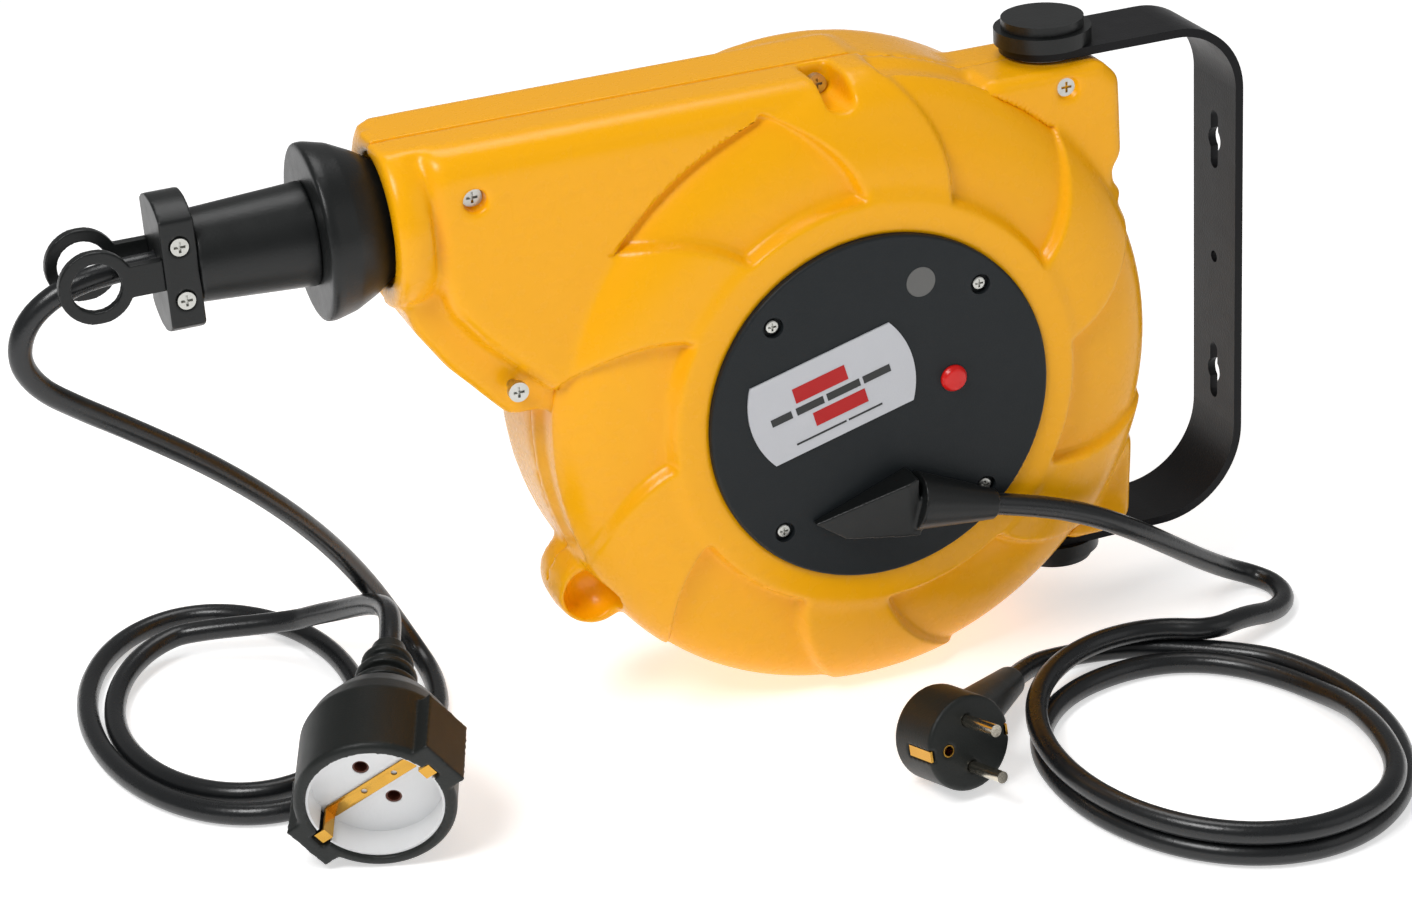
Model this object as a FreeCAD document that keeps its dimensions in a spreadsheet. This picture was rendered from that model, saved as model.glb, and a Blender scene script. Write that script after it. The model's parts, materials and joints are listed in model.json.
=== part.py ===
import FreeCAD, Part
import math
import os

import Sketcher
from FreeCAD import Placement, Rotation, Vector

# Spring-driven extension cord reel on a swivelling wall bracket, in millimetres.
# The origin is the middle of the bracket's hole pattern, on the face that meets the wall.
# +X points into the wall, -Y is the front of the reel (label side), +Z is up.

SIZES = {
    # bracket
    "strap_width": 35.0,
    "strap_thick": 3.5,
    "strap_half": 109.0,
    "bend_top": 30.0,
    "bend_low": 38.0,
    "pivot_reach": 81.0,
    "pivot_r": 6.0,
    "keyhole_gap": 104.0,
    "keyhole_slot": 25.0,
    "keyhole_r": 3.0,
    "keyhole_lobe": 5.0,
    "middle_hole_r": 2.5,
    "cap_r": 19.5,
    "cap_high": 10.0,
    # housing
    "axis_reach": 177.0,
    "axis_drop": 12.0,
    "shell_r": 130.0,
    "wall": 3.0,
    "front_deep": 45.0,
    "rear_deep": 50.0,
    "ring_r": 84.0,
    "cover_r": 72.0,
    "cover_thick": 4.0,
    "cover_proud": 2.5,
    "opening_r": 54.0,
    "neck_front": 30.0,
    "neck_rear": 35.0,
    "neck_end": 180.0,
    "cable_high": 100.0,
    "mouth_r": 27.0,
    "block_deep": 25.0,
    # drum
    "drum_r": 108.0,
    "hub_r": 50.0,
    "wound_r": 95.0,
    "drum_half": 24.0,
    "flange_thick": 3.0,
    "axle_r": 8.0,
    "bush_r": 10.0,
    "running": 0.05,
    "ratchet_r": 74.0,
    "ratchet_root": 68.0,
    # cable and its fittings
    "cable_r": 4.5,
    "floor_down": 143.0,
    "dome_r": 34.0,
    "socket_r": 31.0,
    "recess_r": 26.5,
    "recess_deep": 17.0,
    "plug_r": 19.0,
    "pin_r": 2.4,
    "pin_gap": 19.0,
}

doc = FreeCAD.newDocument("cord_reel")
sheet = doc.addObject("Spreadsheet::Sheet", "Sizes")
for line, (alias, amount) in enumerate(SIZES.items(), 1):
    sheet.set("A%d" % line, alias)
    sheet.set("B%d" % line, str(amount))
    sheet.setAlias("B%d" % line, alias)
doc.recompute()


class Size:
    """A length together with the sheet expression that gives it."""

    def __init__(self, value, text):
        self.value = value
        self.text = text

    @staticmethod
    def of(thing):
        return thing if isinstance(thing, Size) else Size(float(thing), "%g" % thing)

    def __add__(self, other):
        other = Size.of(other)
        return Size(self.value + other.value, "(%s + %s)" % (self.text, other.text))

    def __sub__(self, other):
        other = Size.of(other)
        return Size(self.value - other.value, "(%s - %s)" % (self.text, other.text))

    def __mul__(self, factor):
        return Size(self.value * factor, "(%s * %g)" % (self.text, factor))

    def __truediv__(self, factor):
        return Size(self.value / factor, "(%s / %g)" % (self.text, factor))

    def __neg__(self):
        return Size(-self.value, "(-1 * %s)" % self.text)

    def __radd__(self, other):
        return Size.of(other) + self

    def __rmul__(self, factor):
        return self * factor

    def __rsub__(self, other):
        return Size.of(other) - self


def size(alias):
    """The named cell of the sheet as a Size."""
    return Size(SIZES[alias], "Sizes." + alias)


REEL = (-size("axis_reach"), Size.of(0), -size("axis_drop"))
TURN_TO = {
    "X": Rotation(Vector(0, 1, 0), 90),
    "Y": Rotation(Vector(1, 0, 0), -90),
    "Z": Rotation(),
}
nodes = {}


def bind(thing, prop, amount):
    """Sets one property of an object from a Size."""
    amount = Size.of(amount)
    setattr(thing, prop, amount.value)
    if "Sizes." in amount.text:
        thing.setExpression(prop, amount.text)


def place(thing, at=(0, 0, 0), turn=None, base=None):
    """Puts an object at a point that is counted from base, the reel's centre unless given."""
    base = REEL if base is None else base
    spot = [Size.of(b) + Size.of(a) for a, b in zip(at, base)]
    thing.Placement = Placement(Vector(*[s.value for s in spot]), turn or Rotation())
    for letter, amount in zip("xyz", spot):
        if "Sizes." in amount.text:
            thing.setExpression(".Placement.Base." + letter, amount.text)
    return thing


WORLD = (Size.of(0), Size.of(0), Size.of(0))


def cylinder(radius, length, at, axis="Z", base=None, turn=None):
    """A cylinder that starts at a point and runs along +X, +Y or +Z."""
    solid = doc.addObject("Part::Cylinder", "cylinder")
    bind(solid, "Radius", radius)
    bind(solid, "Height", length)
    return place(solid, at, turn or TURN_TO[axis], base)


def cone(radius1, radius2, length, at, axis="Z", base=None, turn=None):
    """A cone or taper that starts at a point and runs along +X, +Y or +Z."""
    solid = doc.addObject("Part::Cone", "cone")
    bind(solid, "Radius1", radius1)
    bind(solid, "Radius2", radius2)
    bind(solid, "Height", length)
    return place(solid, at, turn or TURN_TO[axis], base)


def box(low, high, base=None):
    """A box between two corners."""
    solid = doc.addObject("Part::Box", "box")
    for prop, a, b in zip(("Length", "Width", "Height"), low, high):
        bind(solid, prop, Size.of(b) - Size.of(a))
    return place(solid, low, None, base)


def fuse(*solids):
    """Several solids joined as one."""
    joined = doc.addObject("Part::MultiFuse", "fusion")
    joined.Shapes = list(solids)
    joined.Refine = True
    return joined


def cut(solid, *tools):
    """A solid less the tools."""
    left = doc.addObject("Part::Cut", "cut")
    left.Base = solid
    left.Tool = tools[0] if len(tools) == 1 else fuse(*tools)
    return left


def group(*solids):
    """Separate solids that share one node."""
    several = doc.addObject("Part::Compound", "group")
    several.Links = list(solids)
    return several


def node(name, thing):
    """Names the object that makes one node."""
    thing.Label = name
    nodes[name] = thing
    return thing


def shaped(name, shape, base=None):
    """A node whose shape is made directly."""
    thing = doc.addObject("Part::Feature", name)
    thing.Shape = shape
    place(thing, (0, 0, 0), None, base)
    return node(name, thing)


# ---------------------------------------------------------------- PartDesign helpers


def new_body(name, base=None, turn=None):
    """An empty body, placed from base."""
    body = doc.addObject("PartDesign::Body", name)
    place(body, (0, 0, 0), turn, base)
    return node(name, body)


def new_sketch(body, plane, offset=0, name="sketch"):
    """A sketch on one of the body's origin planes, moved off it by offset."""
    sketch = body.newObject("Sketcher::SketchObject", name)
    support = [f for f in body.Origin.OriginFeatures if f.Role == plane + "_Plane"][0]
    sketch.AttachmentSupport = (support, [""])
    sketch.MapMode = "FlatFace"
    offset = Size.of(offset)
    sketch.AttachmentOffset = Placement(Vector(0, 0, offset.value), Rotation())
    if "Sizes." in offset.text:
        sketch.setExpression(".AttachmentOffset.Base.z", offset.text)
    return sketch


def pin_point(sketch, line, end, x, y):
    """Fixes one end of a line at a distance from the sketch's origin."""
    for kind, amount, axis in (("DistanceX", x, -2), ("DistanceY", y, -1)):
        if abs(amount.value) < 1e-9:
            sketch.addConstraint(Sketcher.Constraint("PointOnObject", line, end, axis))
            continue
        rule = Sketcher.Constraint(kind, -1, 1, line, end, amount.value)
        index = sketch.addConstraint(rule)
        if "Sizes." in amount.text:
            sketch.setExpression("Constraints[%d]" % index, amount.text)


def outline(sketch, points):
    """A closed outline of straight lines through the points."""
    points = [(Size.of(x), Size.of(y)) for x, y in points]
    first = sketch.GeometryCount
    for here, there in zip(points, points[1:] + points[:1]):
        start = Vector(here[0].value, here[1].value, 0)
        finish = Vector(there[0].value, there[1].value, 0)
        sketch.addGeometry(Part.LineSegment(start, finish), False)
    count = len(points)
    for step in range(count):
        line, following = first + step, first + (step + 1) % count
        sketch.addConstraint(Sketcher.Constraint("Coincident", line, 2, following, 1))
    for step, (x, y) in enumerate(points):
        pin_point(sketch, first + step, 1, x, y)
    return sketch


def circle(sketch, radius, x=0, y=0):
    """A circle with its centre at a fixed point."""
    x, y, radius = Size.of(x), Size.of(y), Size.of(radius)
    shape = Part.Circle(Vector(x.value, y.value, 0), Vector(0, 0, 1), radius.value)
    ring = sketch.addGeometry(shape, False)
    pin_point(sketch, ring, 3, x, y)
    index = sketch.addConstraint(Sketcher.Constraint("Radius", ring, radius.value))
    if "Sizes." in radius.text:
        sketch.setExpression("Constraints[%d]" % index, radius.text)
    return sketch


def pad(body, sketch, length, middle=False, back=False):
    """Material along the sketch's normal."""
    feature = body.newObject("PartDesign::Pad", "pad")
    feature.Profile = sketch
    bind(feature, "Length", length)
    feature.Midplane = middle
    feature.Reversed = back
    return feature


def pocket(body, sketch, length, middle=False, back=False):
    """A cut against the sketch's normal, or along it with back."""
    feature = body.newObject("PartDesign::Pocket", "pocket")
    feature.Profile = sketch
    bind(feature, "Length", length)
    feature.Midplane = middle
    feature.Reversed = back
    return feature


def turned(body, sketch, kind="Revolution", angle=360):
    """A revolution or groove about the sketch's vertical axis."""
    feature = body.newObject("PartDesign::" + kind, kind.lower())
    feature.Profile = sketch
    feature.ReferenceAxis = (sketch, ["V_Axis"])
    feature.Angle = angle
    return feature


def rounded(body, radius, wanted):
    """Rounds the body's edges that the test picks out."""
    doc.recompute()
    base = body.Tip
    picked = [
        "Edge%d" % number
        for number, edge in enumerate(base.Shape.Edges, 1)
        if wanted(edge)
    ]
    feature = body.newObject("PartDesign::Fillet", "fillet")
    feature.Base = (base, picked)
    bind(feature, "Radius", radius)
    return feature


def lathe(name, profile, base=None, turn=None):
    """A body turned about its own Y axis from a profile of (radius, along) points."""
    body = new_body(name, base, turn)
    turned(body, outline(new_sketch(body, "XY"), profile))
    return body


def middle_of(edge):
    """The middle of an edge."""
    return edge.valueAt((edge.FirstParameter + edge.LastParameter) / 2)


def along(edge, direction):
    """True where an edge is straight and lies along a direction."""
    if len(edge.Vertexes) < 2 or edge.Curve.TypeId != "Part::GeomLine":
        return False
    return abs(edge.tangentAt(edge.FirstParameter).dot(direction)) > 0.999


X_AXIS, Y_AXIS, Z_AXIS = Vector(1, 0, 0), Vector(0, 1, 0), Vector(0, 0, 1)

# ---------------------------------------------------------------- wall bracket


def wall_strap():
    """Flat steel strap bent to a U, with an arm above and below the housing."""
    thick, half = size("strap_thick"), size("strap_half")
    tip = -size("pivot_reach") - size("strap_width") / 2
    body = new_body("wall_strap", WORLD)
    pad(
        body,
        outline(
            new_sketch(body, "XZ"),
            [
                (tip, half),
                (0, half),
                (0, -half),
                (tip, -half),
                (tip, -half + thick),
                (-thick, -half + thick),
                (-thick, half - thick),
                (tip, half - thick),
            ],
        ),
        size("strap_width"),
        middle=True,
    )
    for alias, sign in (("bend_top", 1), ("bend_low", -1)):
        for inset, radius in ((0, size(alias)), (1, size(alias) - thick)):
            spot_x = -inset * SIZES["strap_thick"]
            spot_z = sign * (SIZES["strap_half"] - inset * SIZES["strap_thick"])
            rounded(
                body,
                radius,
                lambda e, sx=spot_x, sz=spot_z: along(e, Y_AXIS)
                and abs(middle_of(e).x - sx) < 0.1
                and abs(middle_of(e).z - sz) < 0.1,
            )
    arm_end = tip.value
    rounded(
        body,
        size("strap_width") / 2 - 0.1,
        lambda e: along(e, Z_AXIS) and abs(middle_of(e).x - arm_end) < 0.1,
    )
    pivots = circle(new_sketch(body, "XY"), size("pivot_r"), -size("pivot_reach"), 0)
    pocket(body, pivots, half * 3, middle=True)
    holes = new_sketch(body, "YZ")
    circle(holes, size("middle_hole_r"))
    pocket(body, holes, thick * 4, middle=True)
    for sign in (1, -1):
        lobe = new_sketch(body, "YZ")
        circle(lobe, size("keyhole_lobe"), 0, size("keyhole_gap") * (sign / 2))
        pocket(body, lobe, thick * 4, middle=True)
        slot = new_sketch(body, "YZ")
        wide, centre = size("keyhole_r"), size("keyhole_gap") * (sign / 2)
        reach = size("keyhole_slot") / 2 - size("keyhole_r")
        outline(
            slot,
            [
                (-wide, centre - reach),
                (wide, centre - reach),
                (wide, centre + reach),
                (-wide, centre + reach),
            ],
        )
        pocket(body, slot, thick * 4, middle=True)
        for end in (1, -1):
            tip_sketch = new_sketch(body, "YZ")
            circle(tip_sketch, wide, 0, centre + reach * end)
            pocket(body, tip_sketch, thick * 4, middle=True)
    return body


def both_ends(maker):
    """The same fitting at the upper and at the lower pivot."""
    return group(maker(1), maker(-1))


def pivot_piece(sign, steps):
    """Coaxial cylinders on the pivot; each step is radius and two heights from the middle."""
    solids = []
    for radius, low, high in steps:
        low, high = Size.of(low), Size.of(high)
        start = low if sign > 0 else -high
        at = (-size("pivot_reach"), 0, start)
        solids.append(cylinder(radius, high - low, at, "Z", WORLD))
    return solids


def pivot_bolt(sign):
    half = size("strap_half")
    shank, head = pivot_piece(
        sign,
        [(size("pivot_r"), half - 32, half), (10, half, half + 4.5)],
    )
    return fuse(shank, head)


def pivot_nut(sign):
    half = size("strap_half")
    nut = doc.addObject("Part::Prism", "nut")
    nut.Polygon = 6
    bind(nut, "Circumradius", 9.5)
    bind(nut, "Height", 5)
    start = half - 31 if sign > 0 else -(half - 26)
    place(nut, (-size("pivot_reach"), 0, start), None, WORLD)
    bore = pivot_piece(sign, [(size("pivot_r"), half - 40, half - 20)])
    return cut(nut, *bore)


def pivot_cap(sign):
    """Domed cap that snaps over the head of a pivot bolt."""
    half, high, radius = size("strap_half"), size("cap_high"), size("cap_r")
    rim, crown, hollow = pivot_piece(
        sign,
        [
            (radius, half, half + high * 0.6),
            (radius - 3, half + high * 0.6, half + high),
            (11, half, half + high - 3),
        ],
    )
    dome = cut(fuse(rim, crown), hollow)
    return dome


def swivel_bush(sign):
    """Flanged nylon bush between the housing and the bolt."""
    half, thick = size("strap_half"), size("strap_thick")
    top = half - thick - 0.3
    sleeve, flange, bore = pivot_piece(
        sign,
        [
            (9, top - 17.2, top),
            (14, top - 1.2, top),
            (size("pivot_r") + size("running"), top - 20, top + 2),
        ],
    )
    return cut(fuse(sleeve, flange), bore)


wall_strap()
node("pivot_bolts", both_ends(pivot_bolt))
node("pivot_nuts", both_ends(pivot_nut))
node("pivot_caps", both_ends(pivot_cap))
node("swivel_bushes", both_ends(swivel_bush))

# ---------------------------------------------------------------- housing shells

FRONT, REAR = -1, 1
BLOCK_TOP = size("strap_half") - size("strap_thick") - 1.5 + size("axis_drop")
BLOCK_LOW = -size("strap_half") + size("strap_thick") + 1.5 + size("axis_drop")
PIVOT_X = size("axis_reach") - size("pivot_reach")
SCREW_SPOTS = {
    "neck": (-151.5, 111),
    "notch": (-141.5, 31),
    "crown": (-5, 123.5),
}
SCREW_HEAD_Y = {"neck": -22, "notch": -26, "crown": -6}
SCREW_TIP = 22
REAR_BOSS = {"neck": 34, "notch": 34, "crown": 25}
LUG_ANGLE = math.radians(211)
COVER_BACK = -size("front_deep") - size("cover_proud") + size("cover_thick")
COVER_FACE = -size("front_deep") - size("cover_proud")
COVER_SCREW = 43.8
BUTTON_AT = (31.0, 6.5)
GREY_AT = (18.5, 50.0)
LABEL_TURN = 14.5
PAWL_ANGLE = math.radians(-38)
PAWL_REACH = 97.0
PAWL_X = PAWL_REACH * math.cos(PAWL_ANGLE)
PAWL_Z = PAWL_REACH * math.sin(PAWL_ANGLE)


def dish(side):
    """Outer profile of one half, as (radius, along the axis) points."""
    radius = size("shell_r")
    if side == FRONT:
        deep = -size("front_deep")
        return [
            (0, 0),
            (0, deep),
            (size("ring_r"), deep),
            (size("ring_r") + 2, deep + 3),
            (radius - 12, deep + 13),
            (radius - 3, deep + 20),
            (radius, deep + 28),
            (radius, 0),
        ]
    deep = size("rear_deep")
    return [
        (0, 0),
        (radius, 0),
        (radius, deep - 20),
        (radius - 3, deep - 12),
        (radius - 12, deep - 4),
        (radius - 22, deep),
        (0, deep),
    ]


def hollow(side):
    """Inner profile of one half."""
    inner = size("shell_r") - size("wall")
    if side == FRONT:
        deep = -size("front_deep") + size("wall")
        return [
            (0, 0),
            (0, deep + 1.5),
            (size("ring_r"), deep + 1.5),
            (inner - 11, deep + 13.5),
            (inner - 3, deep + 20),
            (inner, deep + 28),
            (inner, 0),
        ]
    deep = size("rear_deep") - size("wall")
    return [
        (0, 0),
        (inner, 0),
        (inner, deep - 18),
        (inner - 3, deep - 10),
        (inner - 12, deep - 2),
        (inner - 21, deep),
        (0, deep),
    ]


def neck_outline(inset):
    """The neck seen from the front, drawn inset from its outer faces."""
    end, top = -size("neck_end") + inset, size("shell_r") + 1 - inset
    return [
        (0, top),
        (end, top),
        (end, 76 + 0.4 * inset),
        (end + 10, 54 + 0.8 * inset),
        (-143 + 1.2 * inset, 18 + 0.6 * inset),
        (-112, 18 + 0.6 * inset),
        (-60, 80),
        (0, 80),
    ]


def layer(body, points, low, high, cutting=False):
    """A pad or pocket of an outline between two depths of the reel."""
    low, high = Size.of(low), Size.of(high)
    sketch = outline(new_sketch(body, "XZ", -high), points)
    if cutting:
        return pocket(body, sketch, high - low, back=True)
    return pad(body, sketch, high - low)


def round_layer(body, radius, x, z, low, high, cutting=False):
    """A round pad or pocket between two depths of the reel."""
    low, high = Size.of(low), Size.of(high)
    sketch = circle(new_sketch(body, "XZ", -high), radius, x, z)
    if cutting:
        return pocket(body, sketch, high - low, back=True)
    return pad(body, sketch, high - low)


def shell(side):
    """One half of the housing: drum case, neck, pivot blocks and screw bosses."""
    front = side == FRONT
    body = new_body("front_shell" if front else "rear_shell")
    neck_deep = size("neck_front") if front else size("neck_rear")
    block_deep = size("block_deep")

    def span(deep):
        """The two depths of a layer that starts at the parting plane."""
        return (-deep, Size.of(0)) if front else (Size.of(0), deep)

    turned(body, outline(new_sketch(body, "XY"), dish(side)))
    layer(body, neck_outline(0), *span(neck_deep))
    corner = PIVOT_X + 24
    layer(
        body,
        [
            (50, BLOCK_TOP - 40),
            (62, BLOCK_TOP),
            (corner - 9, BLOCK_TOP),
            (corner - 2, BLOCK_TOP - 8),
            (corner, 74),
            (corner - 6, 66),
            (80, 40),
        ],
        *span(block_deep),
    )
    layer(
        body,
        [
            (60, BLOCK_LOW + 20),
            (76, BLOCK_LOW),
            (corner - 3, BLOCK_LOW),
            (corner + 2, BLOCK_LOW + 8),
            (corner + 4, -52),
            (90, -40),
        ],
        *span(block_deep),
    )
    lug_x = SIZES["shell_r"] * math.cos(LUG_ANGLE)
    lug_z = SIZES["shell_r"] * math.sin(LUG_ANGLE)
    round_layer(body, 16, lug_x, lug_z, *span(Size.of(14)))
    doc.recompute()
    turned(body, outline(new_sketch(body, "XY"), hollow(side)), "Groove")
    layer(body, neck_outline(size("wall")), *span(neck_deep - size("wall")), cutting=True)
    # solid corners around the two pivots, clear of the drum
    for low, high in ((BLOCK_TOP - 50, BLOCK_TOP - 2), (BLOCK_LOW + 2, BLOCK_LOW + 40)):
        layer(
            body,
            [(62, low), (corner - 2, low), (corner - 6, high), (62, high)],
            *span(block_deep - 1),
        )
    if front:
        layer(body, [(-14, 113.5), (4, 113.5), (4, 129), (-14, 129)], -27, 0)
    for name, (x, z) in SCREW_SPOTS.items():
        deep = Size.of(-SCREW_HEAD_Y[name] + 2) if front else Size.of(REAR_BOSS[name])
        round_layer(body, 5, x, z, *span(deep))
    # the lower arm and its cap swing in a gap cut out of the rim
    edge = PIVOT_X - 21
    reach = BLOCK_LOW - 20
    wall_past_gap = [(edge - 10, -86), (edge - 10, reach), (edge + 2, reach + 6), (edge + 2, -86)]
    layer(body, wall_past_gap, *span(Size.of(40)))
    gap = [(edge, BLOCK_LOW), (edge, -140), (140, -140), (140, BLOCK_LOW)]
    if front:
        layer(body, gap, -50, 0, cutting=True)
    else:
        layer(body, gap, 0, 55, cutting=True)
    doc.recompute()
    clear = size("drum_r") + 4
    flat = size("drum_half") + 8
    turned(
        body,
        outline(
            new_sketch(body, "XY"),
            [(0, 0), (0, flat * side), (clear, flat * side), (clear, 0)],
        ),
        "Groove",
    )
    for sign, edge in ((1, BLOCK_TOP), (-1, BLOCK_LOW)):
        bore = circle(new_sketch(body, "XY", edge - 17 * sign), 9, PIVOT_X, 0)
        pocket(body, bore, Size.of(20), back=sign > 0)
        room = circle(new_sketch(body, "XY", edge - 27 * sign), 12, PIVOT_X, 0)
        pocket(body, room, Size.of(10), back=sign > 0)
    for name, (x, z) in SCREW_SPOTS.items():
        head = SCREW_HEAD_Y[name]
        if front:
            round_layer(body, 2.1, x, z, head - 1, 0, cutting=True)
            round_layer(body, 4.2, x, z, -size("front_deep"), head, cutting=True)
        else:
            round_layer(body, 2.0, x, z, 0, SCREW_TIP, cutting=True)
    mouth = circle(
        new_sketch(body, "YZ", -size("neck_end") - 5), size("mouth_r"), 0, size("cable_high")
    )
    pocket(body, mouth, size("wall") + 9, back=True)
    if front:
        finish_front(body)
    else:
        finish_rear(body)
    return body


def finish_front(body):
    """Cover seat, opening, crown channel, set screw bore and the six sunk panels."""
    deep = size("front_deep")
    seat = size("cover_thick") - size("cover_proud")
    round_layer(body, size("cover_r") + 0.3, 0, 0, -deep - 1, -deep + seat, cutting=True)
    round_layer(body, size("opening_r"), 0, 0, -deep, -deep + 12, cutting=True)
    for x in (-COVER_SCREW, COVER_SCREW):
        for z in (-COVER_SCREW, COVER_SCREW):
            round_layer(body, 2.0, x, z, -deep, -deep + 6, cutting=True)
    layer(body, [(-11, 117), (1, 117), (1, 135), (-11, 135)], -40, -6, cutting=True)
    round_layer(body, 4, PIVOT_X - 1, 108, -26, -20, cutting=True)
    round_layer(body, 2.5, PIVOT_X - 1, 108, -21, -8, cutting=True)
    doc.recompute()
    near, far = size("ring_r") + 1, size("shell_r") - 13
    panel = turned(
        body,
        outline(
            new_sketch(body, "XY"),
            [
                (near, -deep),
                (near, -deep + 4.2),
                (far, -deep + 14.2),
                (far, -deep + 8),
            ],
        ),
        "Groove",
        angle=36,
    )
    doc.recompute()
    ring = body.newObject("PartDesign::PolarPattern", "panels")
    ring.Originals = [panel]
    ring.Axis = (new_sketch(body, "XZ"), ["N_Axis"])
    ring.Angle = 360
    ring.Occurrences = 6
    body.Tip = ring


def finish_rear(body):
    """Boss for the axle, with its flat-sided bore, and the pawl's post hole."""
    deep = size("rear_deep")
    round_layer(body, 16, 0, 0, size("drum_half") + 5, deep - 1)
    round_layer(body, size("axle_r"), 0, 0, 20, deep + 1, cutting=True)
    round_layer(body, 7, PAWL_X, PAWL_Z, size("drum_half") + 7, deep - 1)
    round_layer(body, 3, PAWL_X, PAWL_Z, 20, deep - 5, cutting=True)


shell(FRONT)
shell(REAR)


def pan_screw(x, y, z, length, head_r=4.0, shank_r=2.0, base=None):
    """Pan-head screw that points along +Y, its head's underside at y."""
    head = cylinder(head_r, 2.6, (x, y - 2.6, z), "Y", base)
    shank = cylinder(shank_r, length, (x, y, z), "Y", base)
    recess = box((x - 0.5, y - 2.8, z - 2.2), (x + 0.5, y - 1.2, z + 2.2), base)
    cross = box((x - 2.2, y - 2.8, z - 0.5), (x + 2.2, y - 1.2, z + 0.5), base)
    return cut(fuse(head, shank), recess, cross)


node(
    "shell_screws",
    group(
        *[
            pan_screw(x, SCREW_HEAD_Y[name], z, SCREW_TIP - SCREW_HEAD_Y[name] - 1)
            for name, (x, z) in SCREW_SPOTS.items()
        ]
    ),
)
node("bush_set_screw", pan_screw((PIVOT_X - 1), -20, 108, 10.6, 3.9, 2.4))

# ---------------------------------------------------------------- front cover



def front_cover():
    """Round black cover with four screw wells, and holes for the button, plug and lead."""
    body = new_body("front_cover")
    round_layer(body, size("cover_r"), 0, 0, COVER_FACE, COVER_BACK)
    rounded(
        body,
        1.2,
        lambda e: abs(middle_of(e).y - COVER_FACE.value) < 0.01,
    )
    spots = [(a * COVER_SCREW, b * COVER_SCREW) for a in (-1, 1) for b in (-1, 1)]
    for x, z in spots:
        round_layer(body, 4.2, x, z, COVER_FACE - 1, COVER_FACE + 2.8, cutting=True)
        round_layer(body, 2.1, x, z, COVER_FACE, COVER_BACK + 1, cutting=True)
    round_layer(body, 5.6, *BUTTON_AT, COVER_FACE - 1, COVER_BACK + 1, cutting=True)
    round_layer(body, 6.2, *GREY_AT, COVER_FACE - 1, COVER_BACK - 1, cutting=True)
    round_layer(body, 4.2, *GREY_AT, COVER_FACE - 1, COVER_BACK + 1, cutting=True)
    round_layer(body, size("cable_r") + 1, 14, -38, COVER_FACE, COVER_BACK + 1, cutting=True)
    return body


front_cover()
node(
    "cover_screws",
    group(
        *[
            pan_screw(a * COVER_SCREW, COVER_FACE.value + 2.8, b * COVER_SCREW, 5)
            for a in (-1, 1)
            for b in (-1, 1)
        ]
    ),
)


def name_plate():
    """Thin metal plate with two straight sides and two arched ends, left blank."""
    body = new_body("name_plate")
    round_layer(body, 35.5, 0, 0, -0.8, 0)
    layer(body, [(-40, 18), (40, 18), (40, 40), (-40, 40)], -1, 1, cutting=True)
    layer(body, [(-40, -40), (40, -40), (40, -18), (-40, -18)], -1, 1, cutting=True)
    turn = Rotation(Vector(0, 1, 0), -LABEL_TURN)
    place(body, (-21, COVER_FACE, 11), turn)
    return body


name_plate()
node(
    "reset_button",
    fuse(
        cylinder(5.5, 6.5, (BUTTON_AT[0], COVER_FACE - 3, BUTTON_AT[1]), "Y"),
        cylinder(2.0, 5.5, (BUTTON_AT[0], COVER_FACE + 3.5, BUTTON_AT[1]), "Y"),
    ),
)
node(
    "thermal_cutout",
    cut(
        box((21, COVER_BACK + 0.01, -2), (41, COVER_BACK + 9.5, 15)),
        cylinder(6.2, 4.5, (BUTTON_AT[0], COVER_BACK - 1, BUTTON_AT[1]), "Y"),
        cylinder(2.2, 9, (BUTTON_AT[0], COVER_BACK, BUTTON_AT[1]), "Y"),
    ),
)
node(
    "inspection_plug",
    fuse(
        cylinder(6.1, size("cover_thick") - 1, (GREY_AT[0], COVER_FACE, GREY_AT[1]), "Y"),
        cylinder(4.1, size("cover_thick"), (GREY_AT[0], COVER_FACE, GREY_AT[1]), "Y"),
    ),
)


def lead_gland():
    """Moulded ramp and box on the cover that turn the mains lead sideways."""
    body = new_body("lead_gland")
    layer(body, [(-32, -42), (9, -27), (9, -52), (-20, -50)], -13, 0)
    doc.recompute()
    slope = outline(new_sketch(body, "XY", 20), [(-40, -14), (-40, -1), (8, -14)])
    pocket(body, slope, 80)
    place(body, (0, COVER_FACE, 0))
    relief = cone(12, 6.2, GLAND_LONG, (9, COVER_FACE - 6.5, -39.5), turn=GLAND_TURN)
    bottom = box((-40, COVER_FACE, -90), (80, COVER_FACE + 30, 10))
    body.Label = "gland_block"
    return node("lead_gland", cut(fuse(body, relief), bottom))


BORE = size("cable_r") + 0.1
GLAND_DOWN = 15.5
GLAND_LONG = 36.0
GLAND_TURN = Rotation(Vector(0, 1, 0), 90 + GLAND_DOWN)
lead_gland()
node(
    "gland_clamp",
    cut(
        fuse(
            cylinder(8, 5, (14, COVER_BACK + 0.01, -38), "Y"),
            box((9, COVER_BACK + 0.01, -42), (26, COVER_BACK + 3, -34)),
        ),
        cylinder(BORE, 8, (14, COVER_BACK - 1, -38), "Y"),
    ),
)
node("inner_lead", cylinder(size("cable_r"), 12, (14, COVER_FACE, -38), "Y"))

# ---------------------------------------------------------------- axle and brushes

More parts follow.
